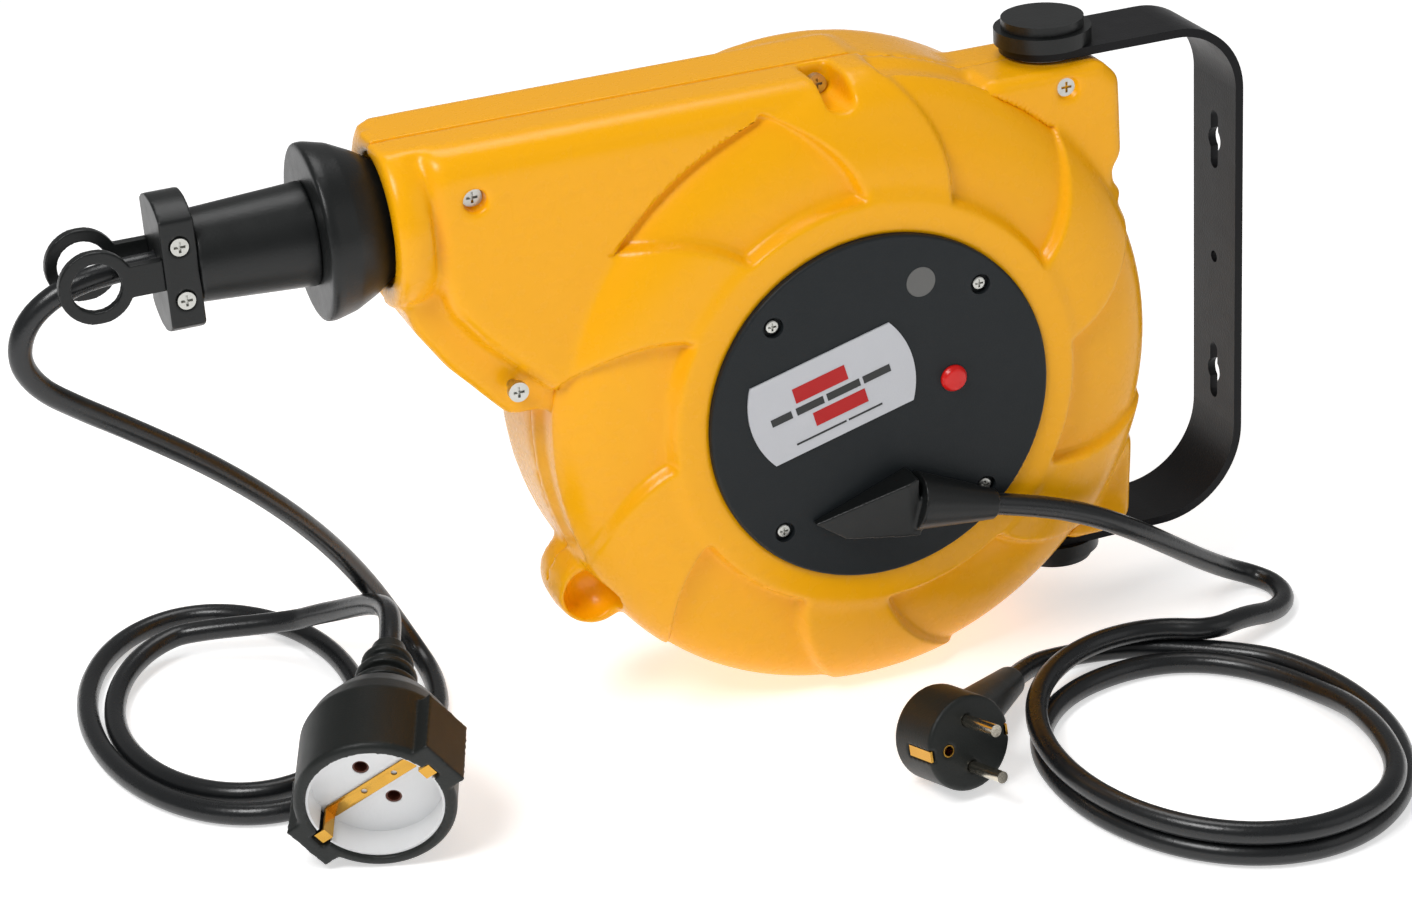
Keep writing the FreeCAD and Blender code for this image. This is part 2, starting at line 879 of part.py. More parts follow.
BRUSH_RADII = (20.0, 29.0, 38.0)
node(
    "drum_axle",
    fuse(
        cylinder(size("axle_r"), size("rear_deep") + 26, (0, -26, 0), "Y"),
        cylinder(13, 2.5, (0, size("rear_deep"), 0), "Y"),
    ),
)
node(
    "brush_block",
    cut(
        box((-5, COVER_BACK + 0.01, -43), (5, COVER_BACK + 6, -15)),
        *[box((-2.5, COVER_BACK + 2, -r - 2.5), (2.5, COVER_BACK + 7, -r + 2.5)) for r in BRUSH_RADII],
    ),
)
RING_FACE = -30.0
node(
    "contact_brushes",
    group(
        *[
            box((-2.5, COVER_BACK + 2, -r - 2.5), (2.5, RING_FACE - 0.1, -r + 2.5))
            for r in BRUSH_RADII
        ]
    ),
)

# ---------------------------------------------------------------- drum


def drum_core():
    """Hub with its front web and rear flange."""
    half, thick = size("drum_half"), size("flange_thick")
    hub, big = size("hub_r"), size("drum_r")
    profile = [
        (size("bush_r"), -half + thick),
        (hub, -half + thick),
        (hub, half - thick),
        (big, half - thick),
        (big, half),
        (hub - 4, half),
        (hub - 4, -half + thick + 4),
        (14, -half + thick + 4),
        (14, -half + thick + 8),
        (size("bush_r"), -half + thick + 8),
    ]
    return lathe("drum_core", profile)


def drum_flange():
    """Front flange, with lightening holes in a ring."""
    body = new_body("drum_flange")
    half, thick = size("drum_half"), size("flange_thick")
    round_layer(body, size("drum_r"), 0, 0, -half, -half + thick)
    round_layer(body, size("bush_r") + 4, 0, 0, -half - 1, -half + thick + 1, cutting=True)
    doc.recompute()
    hole = round_layer(body, 9, 76, 0, -half - 1, -half + thick + 1, cutting=True)
    doc.recompute()
    ring = body.newObject("PartDesign::PolarPattern", "holes")
    ring.Originals = [hole]
    axis_sketch = new_sketch(body, "XZ")
    ring.Axis = (axis_sketch, ["N_Axis"])
    ring.Angle = 360
    ring.Occurrences = 8
    body.Tip = ring
    return body


drum_core()
drum_flange()
lathe(
    "spring_lid",
    [
        (size("bush_r"), size("drum_half") - 8),
        (14, size("drum_half") - 8),
        (14, size("drum_half") - 3),
        (size("hub_r") - 4, size("drum_half") - 3),
        (size("hub_r") - 4, size("drum_half")),
        (size("bush_r"), size("drum_half")),
    ],
)


def drum_bush(start):
    ring = cylinder(size("bush_r"), 8, (0, start, 0), "Y")
    bore = cylinder(size("axle_r") + size("running"), 10, (0, start - 1, 0), "Y")
    return cut(ring, bore)


node(
    "drum_bushes",
    group(
        drum_bush(-size("drum_half") + size("flange_thick")),
        drum_bush(size("drum_half") - 8),
    ),
)
lathe(
    "ring_carrier",
    [
        (12, -28),
        (size("hub_r") - 7, -28),
        (size("hub_r") - 7, -size("drum_half")),
        (12, -size("drum_half")),
    ],
)
node(
    "slip_rings",
    group(
        *[
            cut(
                cylinder(r + 3, 2, (0, RING_FACE, 0), "Y"),
                cylinder(r - 3, 4, (0, RING_FACE - 1, 0), "Y"),
            )
            for r in BRUSH_RADII
        ]
    ),
)
WOUND = size("drum_half") - size("flange_thick")
lathe(
    "wound_cable",
    [
        (size("hub_r"), -WOUND),
        (size("wound_r") - 2, -WOUND),
        (size("wound_r"), -WOUND + 3),
        (size("wound_r"), WOUND - 3),
        (size("wound_r") - 2, WOUND),
        (size("hub_r"), WOUND),
    ],
)


def mainspring():
    """Flat spiral spring: one long band coiled inside the hub."""
    turns, inner, outer, thick = 9, 12.5, 43.5, 1.0
    steps_per_turn = 24
    steps = turns * steps_per_turn
    rise = (outer - inner) / steps

    def spot(step, extra):
        angle = 2 * math.pi * step / steps_per_turn
        radius = inner + rise * step + extra
        return Vector(radius * math.cos(angle), -9.5, radius * math.sin(angle))

    inside, outside = Part.BSplineCurve(), Part.BSplineCurve()
    inside.interpolate([spot(step, 0) for step in range(steps + 1)])
    outside.interpolate([spot(step, thick) for step in range(steps + 1)])
    edges = [
        inside.toShape(),
        Part.LineSegment(spot(steps, 0), spot(steps, thick)).toShape(),
        outside.toShape(),
        Part.LineSegment(spot(0, thick), spot(0, 0)).toShape(),
    ]
    band = Part.Face(Part.Wire(Part.__sortEdges__(edges)))
    return shaped("mainspring", band.extrude(Vector(0, 22, 0)))


mainspring()
TEETH = 12


def ratchet_ring():
    """Ring of saw teeth behind the rear flange."""
    root, tip = SIZES["ratchet_root"], SIZES["ratchet_r"]
    face = SIZES["drum_half"]
    corners = []
    for tooth in range(TEETH):
        start = 2 * math.pi * tooth / TEETH + RATCHET_PHASE
        for share, radius in ((0.0, tip), (0.0, root), (0.45, root), (1.0, tip)):
            angle = start + share * 2 * math.pi / TEETH
            spot = Vector(radius * math.cos(angle), face, radius * math.sin(angle))
            if not corners or (corners[-1] - spot).Length > 0.01:
                corners.append(spot)
    corners = corners[:-1] if (corners[-1] - corners[0]).Length < 0.01 else corners
    rim = Part.Wire(Part.makePolygon(corners + corners[:1]).Edges)
    bore = Part.makeCircle(58, Vector(0, face, 0), Vector(0, 1, 0))
    face_shape = Part.Face([rim, Part.Wire(bore)])
    face_shape.validate()
    return shaped("ratchet_ring", face_shape.extrude(Vector(0, 4.5, 0)))


RATCHET_PHASE = math.radians(-60)
ratchet_ring()
node(
    "drum_screws",
    group(
        *[
            pan_screw(
                48 * math.cos(math.radians(a)),
                -size("drum_half").value,
                48 * math.sin(math.radians(a)),
                9,
                3.0,
                1.4,
            )
            for a in (45, 135, 225, 315)
        ]
    ),
)

# ---------------------------------------------------------------- pawl

PAWL_LOW, PAWL_HIGH = 24.4, 28.6
node(
    "pawl_post",
    cylinder(3, size("rear_deep") - 5 - PAWL_LOW, (PAWL_X, PAWL_LOW, PAWL_Z), "Y"),
)


def pawl():
    """Catch that drops into the ratchet's teeth; drawn lifted clear of them."""
    post = Vector(PAWL_X, PAWL_LOW, PAWL_Z)
    inward = Vector(-math.cos(PAWL_ANGLE), 0, -math.sin(PAWL_ANGLE))
    side = Vector(-math.sin(PAWL_ANGLE), 0, math.cos(PAWL_ANGLE))
    deep = Vector(0, PAWL_HIGH - PAWL_LOW, 0)
    nose = post + side * 26 + inward * 27
    points = [
        post - inward * 5.5,
        post + side * 24 + inward * 10,
        nose,
        post + side * 21 + inward * 25,
        post + inward * 5.5,
    ]
    arm = Part.Face(Part.makePolygon(points + points[:1])).extrude(deep)
    eye = Part.makeCylinder(6, deep.y, post, Vector(0, 1, 0))
    bore = Part.makeCylinder(3 + SIZES["running"], deep.y + 2, post - Vector(0, 1, 0), Vector(0, 1, 0))
    return shaped("pawl", arm.fuse(eye).cut(bore).removeSplitter())


pawl()


def pawl_spring():
    """Small hairpin spring that holds the pawl."""
    wire_r = 0.5
    post = Vector(PAWL_X, PAWL_HIGH + 1.2, PAWL_Z)
    coil = Part.makeTorus(4.0, wire_r, post, Vector(0, 1, 0))
    leg = Part.makeCylinder(wire_r, 16, post + Vector(4.0, 0, 0), Vector(0.25, 0, -1))
    return shaped("pawl_spring", coil.fuse(leg))


pawl_spring()

# ---------------------------------------------------------------- cable guide in the neck

GUIDE_LOW, GUIDE_HIGH = -171.0, -158.0
ROLLER_R, ROLLER_PIN_R, ROLLER_HALF = 5.5, 1.5, 15.4
CABLE_Z = SIZES["cable_high"]
ROLLER_OFF = SIZES["cable_r"] + 0.2 + ROLLER_R
ROLLER_X = (GUIDE_LOW + GUIDE_HIGH) / 2
node(
    "guide_frame",
    cut(
        box(
            (GUIDE_LOW, -size("neck_front") + size("wall"), CABLE_Z - 26),
            (GUIDE_HIGH, size("neck_rear") - size("wall"), size("shell_r") + 1 - size("wall")),
        ),
        box((GUIDE_LOW - 1, -16, CABLE_Z - 16), (GUIDE_HIGH + 1, 16, CABLE_Z + 16)),
        *[
            cylinder(ROLLER_PIN_R, 38, (ROLLER_X, -19, CABLE_Z + s * ROLLER_OFF), "Y")
            for s in (1, -1)
        ],
    ),
)
node(
    "roller_pins",
    group(
        *[
            cylinder(ROLLER_PIN_R, 38, (ROLLER_X, -19, CABLE_Z + s * ROLLER_OFF), "Y")
            for s in (1, -1)
        ]
    ),
)
for name, s in (("upper_roller", 1), ("lower_roller", -1)):
    height = CABLE_Z + s * ROLLER_OFF
    node(
        name,
        cut(
            cylinder(ROLLER_R, 2 * ROLLER_HALF, (ROLLER_X, -ROLLER_HALF, height), "Y"),
            cylinder(
                ROLLER_PIN_R + size("running"), 40, (ROLLER_X, -20, height), "Y"
            ),
        ),
    )

# ---------------------------------------------------------------- cable stop

STOP_FACE, SLEEVE_END, COLLAR_END = -209.0, -254.0, -267.0
ALONG_X = Rotation(Vector(0, 0, 1), -90)


def on_cable(name, profile):
    """A body turned about the cable's straight stretch; profile is (radius, x) points."""
    body = lathe(name, profile, None, ALONG_X)
    place(body, (0, 0, size("cable_high")), ALONG_X)
    return body


on_cable(
    "stop_dome",
    [
        (BORE, -171.3),
        (12, -171.3),
        (17, -174),
        (22, -180),
        (27.5, -188),
        (32, -197),
        (size("dome_r"), -205),
        (size("dome_r"), STOP_FACE + 1),
        (size("dome_r") - 1, STOP_FACE),
        (BORE, STOP_FACE),
    ],
)
on_cable(
    "stop_sleeve",
    [(BORE, STOP_FACE), (20, STOP_FACE), (17.5, SLEEVE_END), (BORE, SLEEVE_END)],
)


def stop_collar():
    """Clamp plate across the end of the sleeve."""
    body = new_body("stop_collar")
    sketch = circle(new_sketch(body, "YZ", COLLAR_END), 26, 0, size("cable_high"))
    pad(body, sketch, SLEEVE_END - COLLAR_END)
    for low, high in ((-30, -16), (16, 30)):
        layer(body, [(-280, 60), (-240, 60), (-240, 140), (-280, 140)], low, high, cutting=True)
    bore = circle(new_sketch(body, "YZ", COLLAR_END - 1), BORE, 0, size("cable_high"))
    pocket(body, bore, 20, back=True)
    for z in (CABLE_Z + 10.5, CABLE_Z - 10.5):
        round_layer(body, 3.6, (COLLAR_END + SLEEVE_END) / 2, z, -17, -14, cutting=True)
        round_layer(body, 1.6, (COLLAR_END + SLEEVE_END) / 2, z, -15, 12, cutting=True)
    return body


stop_collar()
node(
    "collar_screws",
    group(
        *[
            pan_screw((COLLAR_END + SLEEVE_END) / 2, -14, z, 25.5, 3.4, 1.5)
            for z in (CABLE_Z + 10.5, CABLE_Z - 10.5)
        ]
    ),
)
EAR_X, EAR_Y, EAR_R, EAR_HOLE = -292.0, 12.5, 14.0, 9.3


def stop_ear(y):
    """Ring on a short arm beside the cable."""
    low, high = y - 2, y + 2
    ring = cylinder(EAR_R, 4, (EAR_X, low, CABLE_Z), "Y")
    arm = box((EAR_X + 8, low, CABLE_Z - 6), (COLLAR_END, high, CABLE_Z + 6))
    hole = cylinder(EAR_HOLE, 6, (EAR_X, low - 1, CABLE_Z), "Y")
    return cut(fuse(ring, arm), hole)


node("stop_ears", group(stop_ear(-EAR_Y), stop_ear(EAR_Y)))
node(
    "inner_cable",
    cylinder(size("cable_r"), -1.0 - COLLAR_END, (COLLAR_END, 0, size("cable_high")), "X"),
)

# ---------------------------------------------------------------- free cords


def cord(name, points):
    """A round tube along straight runs joined by tangent arcs; prints its arc radii."""
    points = [Vector(*p) for p in points]
    edges, radii, here = [], [], points[0]
    for before, corner, after in zip(points, points[1:], points[2:]):
        arriving, leaving = (corner - before), (after - corner)
        turn = arriving.getAngle(leaving)
        back = 0.45 * min(arriving.Length, leaving.Length)
        radius = back / math.tan(turn / 2)
        radii.append(radius)
        first = corner - arriving.normalize() * back
        last = corner + leaving.normalize() * back
        inward = (leaving - arriving).normalize()
        centre = corner + inward * (radius / math.cos(turn / 2))
        edges.append(Part.LineSegment(here, first).toShape())
        edges.append(Part.Arc(first, centre - inward * radius, last).toShape())
        here = last
    edges.append(Part.LineSegment(here, points[-1]).toShape())
    path = Part.Wire(edges)
    start = (points[1] - points[0]).normalize()
    ring = Part.Wire(Part.makeCircle(SIZES["cable_r"], points[0], start))
    tube = path.makePipeShell([ring], True, True)
    expected = math.pi * SIZES["cable_r"] ** 2 * path.Length
    print(name, "length %.0f" % path.Length, "volume ratio %.4f" % (tube.Volume / expected))
    print("  radii", " ".join("%.0f" % r for r in radii))
    return tube


def flat_coil(name, centre, outer, inner, layers):
    """Loops lying on the floor as one flat ring; outer and inner are its half sizes."""
    low = SIZES["axis_drop"] - SIZES["floor_down"]
    rings = []
    for wide, deep in (outer, inner):
        middle = Vector(centre[0], centre[1], low)
        ends = (middle + Vector(0, deep, 0), middle + Vector(wide, 0, 0))
        rings.append(Part.Wire(Part.Ellipse(*ends, middle).toShape()))
    face = Part.Face(rings[0]).cut(Part.Face(rings[1]))
    solid = face.extrude(Vector(0, 0, 2 * SIZES["cable_r"] * layers))
    return shaped(name, solid)


FLOOR_Z = SIZES["axis_drop"] - SIZES["floor_down"] + SIZES["cable_r"]
# Points are counted from the drum's centre; y = 0 is the parting plane.
COUPLING_FACE = Vector(-228, -80.5, -100.5)
COUPLING_BACK = Vector(0.352, 0.914, 0.201).normalize()
COUPLING_LONG = 92.0
COUPLING_END = COUPLING_FACE + COUPLING_BACK * COUPLING_LONG
OUTLET_ROUTE = [
    (COLLAR_END, 0, CABLE_Z),
    (-286, 0, CABLE_Z),
    (-304, 0, 96),
    (-317, 1, 86.5),
    (-322, 3, 72),
    (-316, 6, 58),
    (-303, 10, 46),
    (-280, 18, 27),
    (-252, 29, 2),
    (-226, 42, -26),
    (-204, 56, -55),
    (-187, 69, -83),
    (-176, 76, -105),
    (-169, 73, -120),
    (-166, 60, FLOOR_Z),
    (-168, 42, FLOOR_Z),
    (-173, 24, FLOOR_Z),
    (-184, 8, FLOOR_Z),
    (-200, -3, FLOOR_Z),
]
COUPLING_ROUTE = [
    (-206, 115, FLOOR_Z),
    (-202, 100, FLOOR_Z + 2),
    (-197, 84, FLOOR_Z + 8),
    (-192, 68, FLOOR_Z + 20),
    (-188, 52, -91),
    (-186.5, 36, -80.5),
    tuple(COUPLING_END + COUPLING_BACK * 17),
    tuple(COUPLING_END),
]
GLAND_END = (
    9 + GLAND_LONG * math.cos(math.radians(GLAND_DOWN)),
    COVER_FACE.value - 6.5,
    -39.5 - GLAND_LONG * math.sin(math.radians(GLAND_DOWN)),
)
LEAD_ROUTE = [
    GLAND_END,
    (61, -54, -53.9),
    (84, -53, -63),
    (108, -50, -77.5),
    (131, -44, -94),
    (150, -37, -109),
    (166, -32, -120),
    (178, -35, -125),
    (182, -46, FLOOR_Z),
    (176, -58, FLOOR_Z),
    (164, -65, -124),
    (149, -71, -118.5),
    (130, -78, -117.5),
]
PLUG_FACE = Vector(-4.5, -130, -107.5)
PLUG_BACK = Vector(-0.2, 0.96, -0.2).normalize()
PLUG_END = Vector(41, -71, -121.5)
PLUG_ROUTE = [
    (108, -62.5, FLOOR_Z),
    (91, -57, FLOOR_Z),
    (73, -54, FLOOR_Z),
    (54.5, -59, -123.6),
    tuple(PLUG_END),
]


def tube_pair(name, first, second):
    """Two tubes of one cord, either side of its coil."""
    shapes = [cord(name + " a", first), cord(name + " b", second)]
    return shaped(name, Part.makeCompound(shapes))


tube_pair("outlet_cord", OUTLET_ROUTE, COUPLING_ROUTE)
flat_coil("outlet_coil", (-250, 72), (66.5, 105), (40, 59), 1)
tube_pair("mains_lead", LEAD_ROUTE, PLUG_ROUTE)
flat_coil("mains_coil", (94.5, -146), (72.5, 87.5), (54, 64), 2)

# ---------------------------------------------------------------- coupling

COUPLING_ROLL = 53.0
COUPLING_TURN = Rotation(Y_AXIS, COUPLING_BACK) * Rotation(Y_AXIS, COUPLING_ROLL)
COUPLING_SPOT = Placement(COUPLING_FACE + Vector(*[r.value for r in REEL]), COUPLING_TURN)


def at_coupling(thing):
    """Puts a piece drawn with +Y from the socket's mouth to its cord on the coupling."""
    for letter in "xyz":
        thing.setExpression(".Placement.Base." + letter, None)
    thing.Placement = COUPLING_SPOT
    return thing


WING_LONG = 30


def coupling_body():
    """Rubber coupling: deep round socket, two flats wings at the mouth, tapered cord end."""
    outer, recess, deep = size("socket_r"), size("recess_r"), size("recess_deep")
    body = lathe(
        "coupling_body",
        [
            (0, deep + 3),
            (recess, deep + 3),
            (recess, 0),
            (outer - 1.5, 0),
            (outer, 1.5),
            (outer, 34),
            (outer - 3, 42),
            (outer - 9, 52),
            (15, 59),
            (10, COUPLING_LONG - 30),
            (6.8, COUPLING_LONG),
            (0, COUPLING_LONG),
        ],
        WORLD,
    )
    wing = new_sketch(body, "XZ", -WING_LONG)
    half, reach = 11, outer + 4
    outline(wing, [(-half, -reach), (half, -reach), (half, reach), (-half, reach)])
    pad(body, wing, WING_LONG)
    doc.recompute()
    mouth = circle(new_sketch(body, "XZ", 1), recess)
    pocket(body, mouth, deep + 4)
    notch = new_sketch(body, "XZ", 1)
    outline(notch, [(-3.5, -recess - 3), (3.5, -recess - 3), (3.5, recess + 3), (-3.5, recess + 3)])
    pocket(body, notch, deep - 2)
    return at_coupling(body)


coupling_body()
RECESS = size("recess_r")
INSERT_FACE = size("recess_deep") - 3
PIN_SPOTS = (-SIZES["pin_gap"] / 2, SIZES["pin_gap"] / 2)
at_coupling(
    node(
        "coupling_insert",
        cut(
            cylinder(RECESS - 0.1, 5.9, (0, INSERT_FACE, 0), "Y", WORLD),
            *[cylinder(3.2, 8, (x, INSERT_FACE - 1, 0), "Y", WORLD) for x in PIN_SPOTS],
        ),
    )
)
at_coupling(
    node(
        "coupling_contacts",
        group(
            *[
                cut(
                    cylinder(3.2, 5.5, (x, INSERT_FACE + 0.4, 0), "Y", WORLD),
                    cylinder(2.5, 6, (x, INSERT_FACE - 1, 0), "Y", WORLD),
                )
                for x in PIN_SPOTS
            ]
        ),
    )
)


def coupling_clip(side):
    """Sprung earth strip that lies in a notch of the socket's wall."""
    near, far, lip_end = 23.6, 24.6, 28.6
    low, high = sorted((near * side, far * side))
    strip = box((-2.5, 2.5, low), (2.5, INSERT_FACE, high), WORLD)
    low, high = sorted((near * side, lip_end * side))
    lip = box((-2.5, 1.5, low), (2.5, 2.5, high), WORLD)
    return fuse(strip, lip)


at_coupling(node("coupling_earth_clips", group(coupling_clip(1), coupling_clip(-1))))

# ---------------------------------------------------------------- plug

PLUG_DEEP = 28.0
PLUG_SPOT = Placement(
    PLUG_FACE + Vector(*[r.value for r in REEL]), Rotation(Y_AXIS, PLUG_BACK)
)


def at_plug(thing):
    """Puts a piece drawn with +Y from the plug's face to its back on the plug."""
    for letter in "xyz":
        thing.setExpression(".Placement.Base." + letter, None)
    thing.Placement = PLUG_SPOT
    return thing


def plug_body():
    """Angled plug: round face, side slots for the earth strips, cord end to one side."""
    radius = size("plug_r")
    body = lathe(
        "plug_moulding",
        [
            (0, 0),
            (radius - 1, 0),
            (radius, 1),
            (radius, PLUG_DEEP - 5),
            (radius - 4, PLUG_DEEP),
            (0, PLUG_DEEP),
        ],
        WORLD,
    )
    socket = circle(new_sketch(body, "XZ", 1), 2.5, -10, 0)
    pocket(body, socket, 16)
    for z in PIN_SPOTS:
        bore = circle(new_sketch(body, "XZ", 1), size("pin_r"), 0, z)
        pocket(body, bore, 13)
    at_plug(body)
    del nodes["plug_moulding"]
    middle = PLUG_FACE + PLUG_BACK * 15
    reach = PLUG_END - middle
    start = middle + reach.normalize() * 8
    turn = Rotation(Z_AXIS, PLUG_END - middle)
    relief = cone(12, 6.5, (PLUG_END - start).Length, tuple(start), turn=turn)
    slots = at_plug(fuse(*[box((x, -1, -2.5), (x + 3, 15, 2.5), WORLD) for x in (-19.5, 16.5)]))
    return node("plug_body", cut(fuse(body, relief), slots))


plug_body()
at_plug(
    node(
        "plug_pins",
        group(*[cylinder(size("pin_r"), 31, (0, -19, z), "Y", WORLD) for z in PIN_SPOTS]),
    )
)
at_plug(
    node(
        "plug_earth_clips",
        group(
            box((-18.4, 0.5, -2.2), (-17.4, 14.5, 2.2), WORLD),
            box((17.4, 0.5, -2.2), (18.4, 14.5, 2.2), WORLD),
            cut(
                cylinder(2.5, 14.5, (-10, 0.2, 0), "Y", WORLD),
                cylinder(2.0, 14, (-10, -1, 0), "Y", WORLD),
            ),
        ),
    )
)

# ---------------------------------------------------------------- writing the nodes

doc.recompute()
for name in ("plug_moulding", "gland_block"):
    nodes.pop(name, None)
for thing in doc.Objects:
    if "Invalid" in thing.State or "Error" in thing.State:
        raise SystemExit("failed: %s (%s)" % (thing.Name, thing.Label))
os.makedirs("parts", exist_ok=True)
for name, thing in nodes.items():
    shape = thing.Shape
    if shape.isNull() or not shape.isValid() or shape.Volume <= 0:
        raise SystemExit("bad shape: " + name)
    shape.exportStep("parts/%s.step" % name)
    print("%-22s %3d solids %9.0f mm3" % (name, len(shape.Solids), shape.Volume))
print(len(nodes), "nodes")
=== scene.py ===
import json
import logging
import math
from collections.abc import Callable
from dataclasses import dataclass
from enum import Enum

import bpy
import numpy as np
from mathutils import Matrix, Quaternion, Vector


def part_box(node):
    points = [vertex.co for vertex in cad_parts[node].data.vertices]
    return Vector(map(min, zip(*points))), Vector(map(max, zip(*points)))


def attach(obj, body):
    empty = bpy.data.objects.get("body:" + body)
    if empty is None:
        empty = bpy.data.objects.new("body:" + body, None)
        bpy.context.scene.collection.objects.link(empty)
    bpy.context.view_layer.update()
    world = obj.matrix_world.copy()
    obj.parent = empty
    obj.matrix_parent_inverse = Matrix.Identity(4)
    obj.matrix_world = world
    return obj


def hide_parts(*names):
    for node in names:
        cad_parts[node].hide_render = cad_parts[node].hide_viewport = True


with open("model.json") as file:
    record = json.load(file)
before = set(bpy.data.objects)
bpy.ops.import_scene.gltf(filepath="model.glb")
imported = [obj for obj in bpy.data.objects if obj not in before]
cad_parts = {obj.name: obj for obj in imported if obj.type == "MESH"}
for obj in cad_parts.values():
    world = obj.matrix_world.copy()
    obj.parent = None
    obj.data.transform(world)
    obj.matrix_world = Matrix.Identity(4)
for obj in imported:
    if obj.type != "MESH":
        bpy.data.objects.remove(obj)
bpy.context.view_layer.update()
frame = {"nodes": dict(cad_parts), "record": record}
log = logging.getLogger("cord_reel")

Point = tuple[float, float, float]
Flat = tuple[float, float]
Placing = Callable[[np.ndarray, np.ndarray], np.ndarray]
GroupParts = tuple[bpy.types.NodeTree, bpy.types.Node, bpy.types.Node]

DOUBLES = 2e-6
RELAX = 0.5

# ------------------------------------------------------------------ places


def middle(node: str) -> Vector:
    """The centre of a CAD node's box.

    Args:
        node: the CAD node's name.

    Returns:
        The centre, in metres.
    """
    low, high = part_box(node)
    return (Vector(low) + Vector(high)) / 2


AXLE = middle("drum_axle")
CENTRE = Vector((AXLE.x, 0.0, AXLE.z))
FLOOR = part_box("outlet_coil")[0][2]
FRONT = Vector((0, -1, 0))
BACK = Vector((0, 1, 0))
TO_WALL = Vector((1, 0, 0))


def at(x: float, y: float, z: float) -> Vector:
    """A point counted from the drum's centre on the parting plane.

    Args:
        x: metres towards the wall.
        y: metres towards the back.
        z: metres up.

    Returns:
        The point in the frame.
    """
    return CENTRE + Vector((x, y, z))


def eased(value: np.ndarray | float, low: float, high: float) -> np.ndarray:
    """A smooth step.

    Args:
        value: where the step is read.
        low: where it leaves 0.
        high: where it reaches 1.

    Returns:
        The step's height at each value.
    """
    t = np.clip((value - low) / (high - low), 0.0, 1.0)
    return t * t * (3 - 2 * t)


def rectangle(wide: float, tall: float, x: float = 0.0, z: float = 0.0) -> list[Flat]:
    """A flat rectangle's corners.

    Args:
        wide: half its width.
        tall: half its height.
        x: its middle across.
        z: its middle up.

    Returns:
        The four corners, in order.
    """
    return [(x - wide, z - tall), (x + wide, z - tall), (x + wide, z + tall), (x - wide, z + tall)]


# ------------------------------------------------------------------ mesh tools


def only(piece: bpy.types.Object) -> None:
    """Leaves one object selected and active.

    Args:
        piece: the object.
    """
    if bpy.context.object and bpy.context.object.mode != "OBJECT":
        bpy.ops.object.mode_set(mode="OBJECT")
    bpy.ops.object.select_all(action="DESELECT")
    piece.select_set(True)
    bpy.context.view_layer.objects.active = piece


def apply_modifier(piece: bpy.types.Object, kind: str, **settings: object) -> None:
    """Adds a modifier with its settings and applies it.

    Args:
        piece: the mesh object.
        kind: the modifier's type.
        settings: the modifier's own properties.
    """
    only(piece)
    modifier = piece.modifiers.new(kind.lower(), kind)
    for key, value in settings.items():
        setattr(modifier, key, value)
    bpy.ops.object.modifier_apply(modifier=modifier.name)


def clean(piece: bpy.types.Object, merge: float = 1e-5) -> None:
    """Merges doubles and turns every face outwards.

    Args:
        piece: the mesh object.
        merge: how near vertices are merged.
    """
    only(piece)
    bpy.ops.object.mode_set(mode="EDIT")
    bpy.ops.mesh.select_all(action="SELECT")
    bpy.ops.mesh.remove_doubles(threshold=merge)
    bpy.ops.mesh.normals_make_consistent(inside=False)
    bpy.ops.object.mode_set(mode="OBJECT")


def smooth(piece: bpy.types.Object, degrees: float = 40.0) -> None:
    """Shades a piece smooth, with creases above an angle.

    Args:
        piece: the mesh object.
        degrees: the angle above which an edge stays sharp.
    """
    only(piece)
    bpy.ops.object.shade_smooth_by_angle(angle=math.radians(degrees))


def read_spots(mesh: bpy.types.Mesh) -> np.ndarray:
    """The places of a mesh's vertices.

    Args:
        mesh: the mesh.

    Returns:
        An (n, 3) array.
    """
    spots = np.empty(len(mesh.vertices) * 3)
    mesh.vertices.foreach_get("co", spots)
    return spots.reshape(-1, 3)


def write_spots(mesh: bpy.types.Mesh, spots: np.ndarray) -> None:
    """Puts a mesh's vertices at new places.

    Args:
        mesh: the mesh.
        spots: an (n, 3) array.
    """
    mesh.vertices.foreach_set("co", np.ascontiguousarray(spots, dtype=float).ravel())
    mesh.update()


def wrapped(name: str, rows: int, columns: int, place: Placing) -> bpy.types.Object:
    """A grid whose vertices are placed by a formula.

    Args:
        name: the piece's name.
        rows: faces along u.
        columns: faces along v.
        place: gives an (n, 3) array of places from arrays u and v, both 0 to 1.

    Returns:
        The new mesh object, at the origin.
    """
    bpy.ops.object.select_all(action="DESELECT")
    bpy.ops.mesh.primitive_grid_add(x_subdivisions=rows, y_subdivisions=columns, size=1.0)
    piece = bpy.context.object
    piece.name = name
    mesh = piece.data
    mesh.name = name
    spots = read_spots(mesh)
    write_spots(mesh, place(spots[:, 0] + 0.5, spots[:, 1] + 0.5))
    return piece


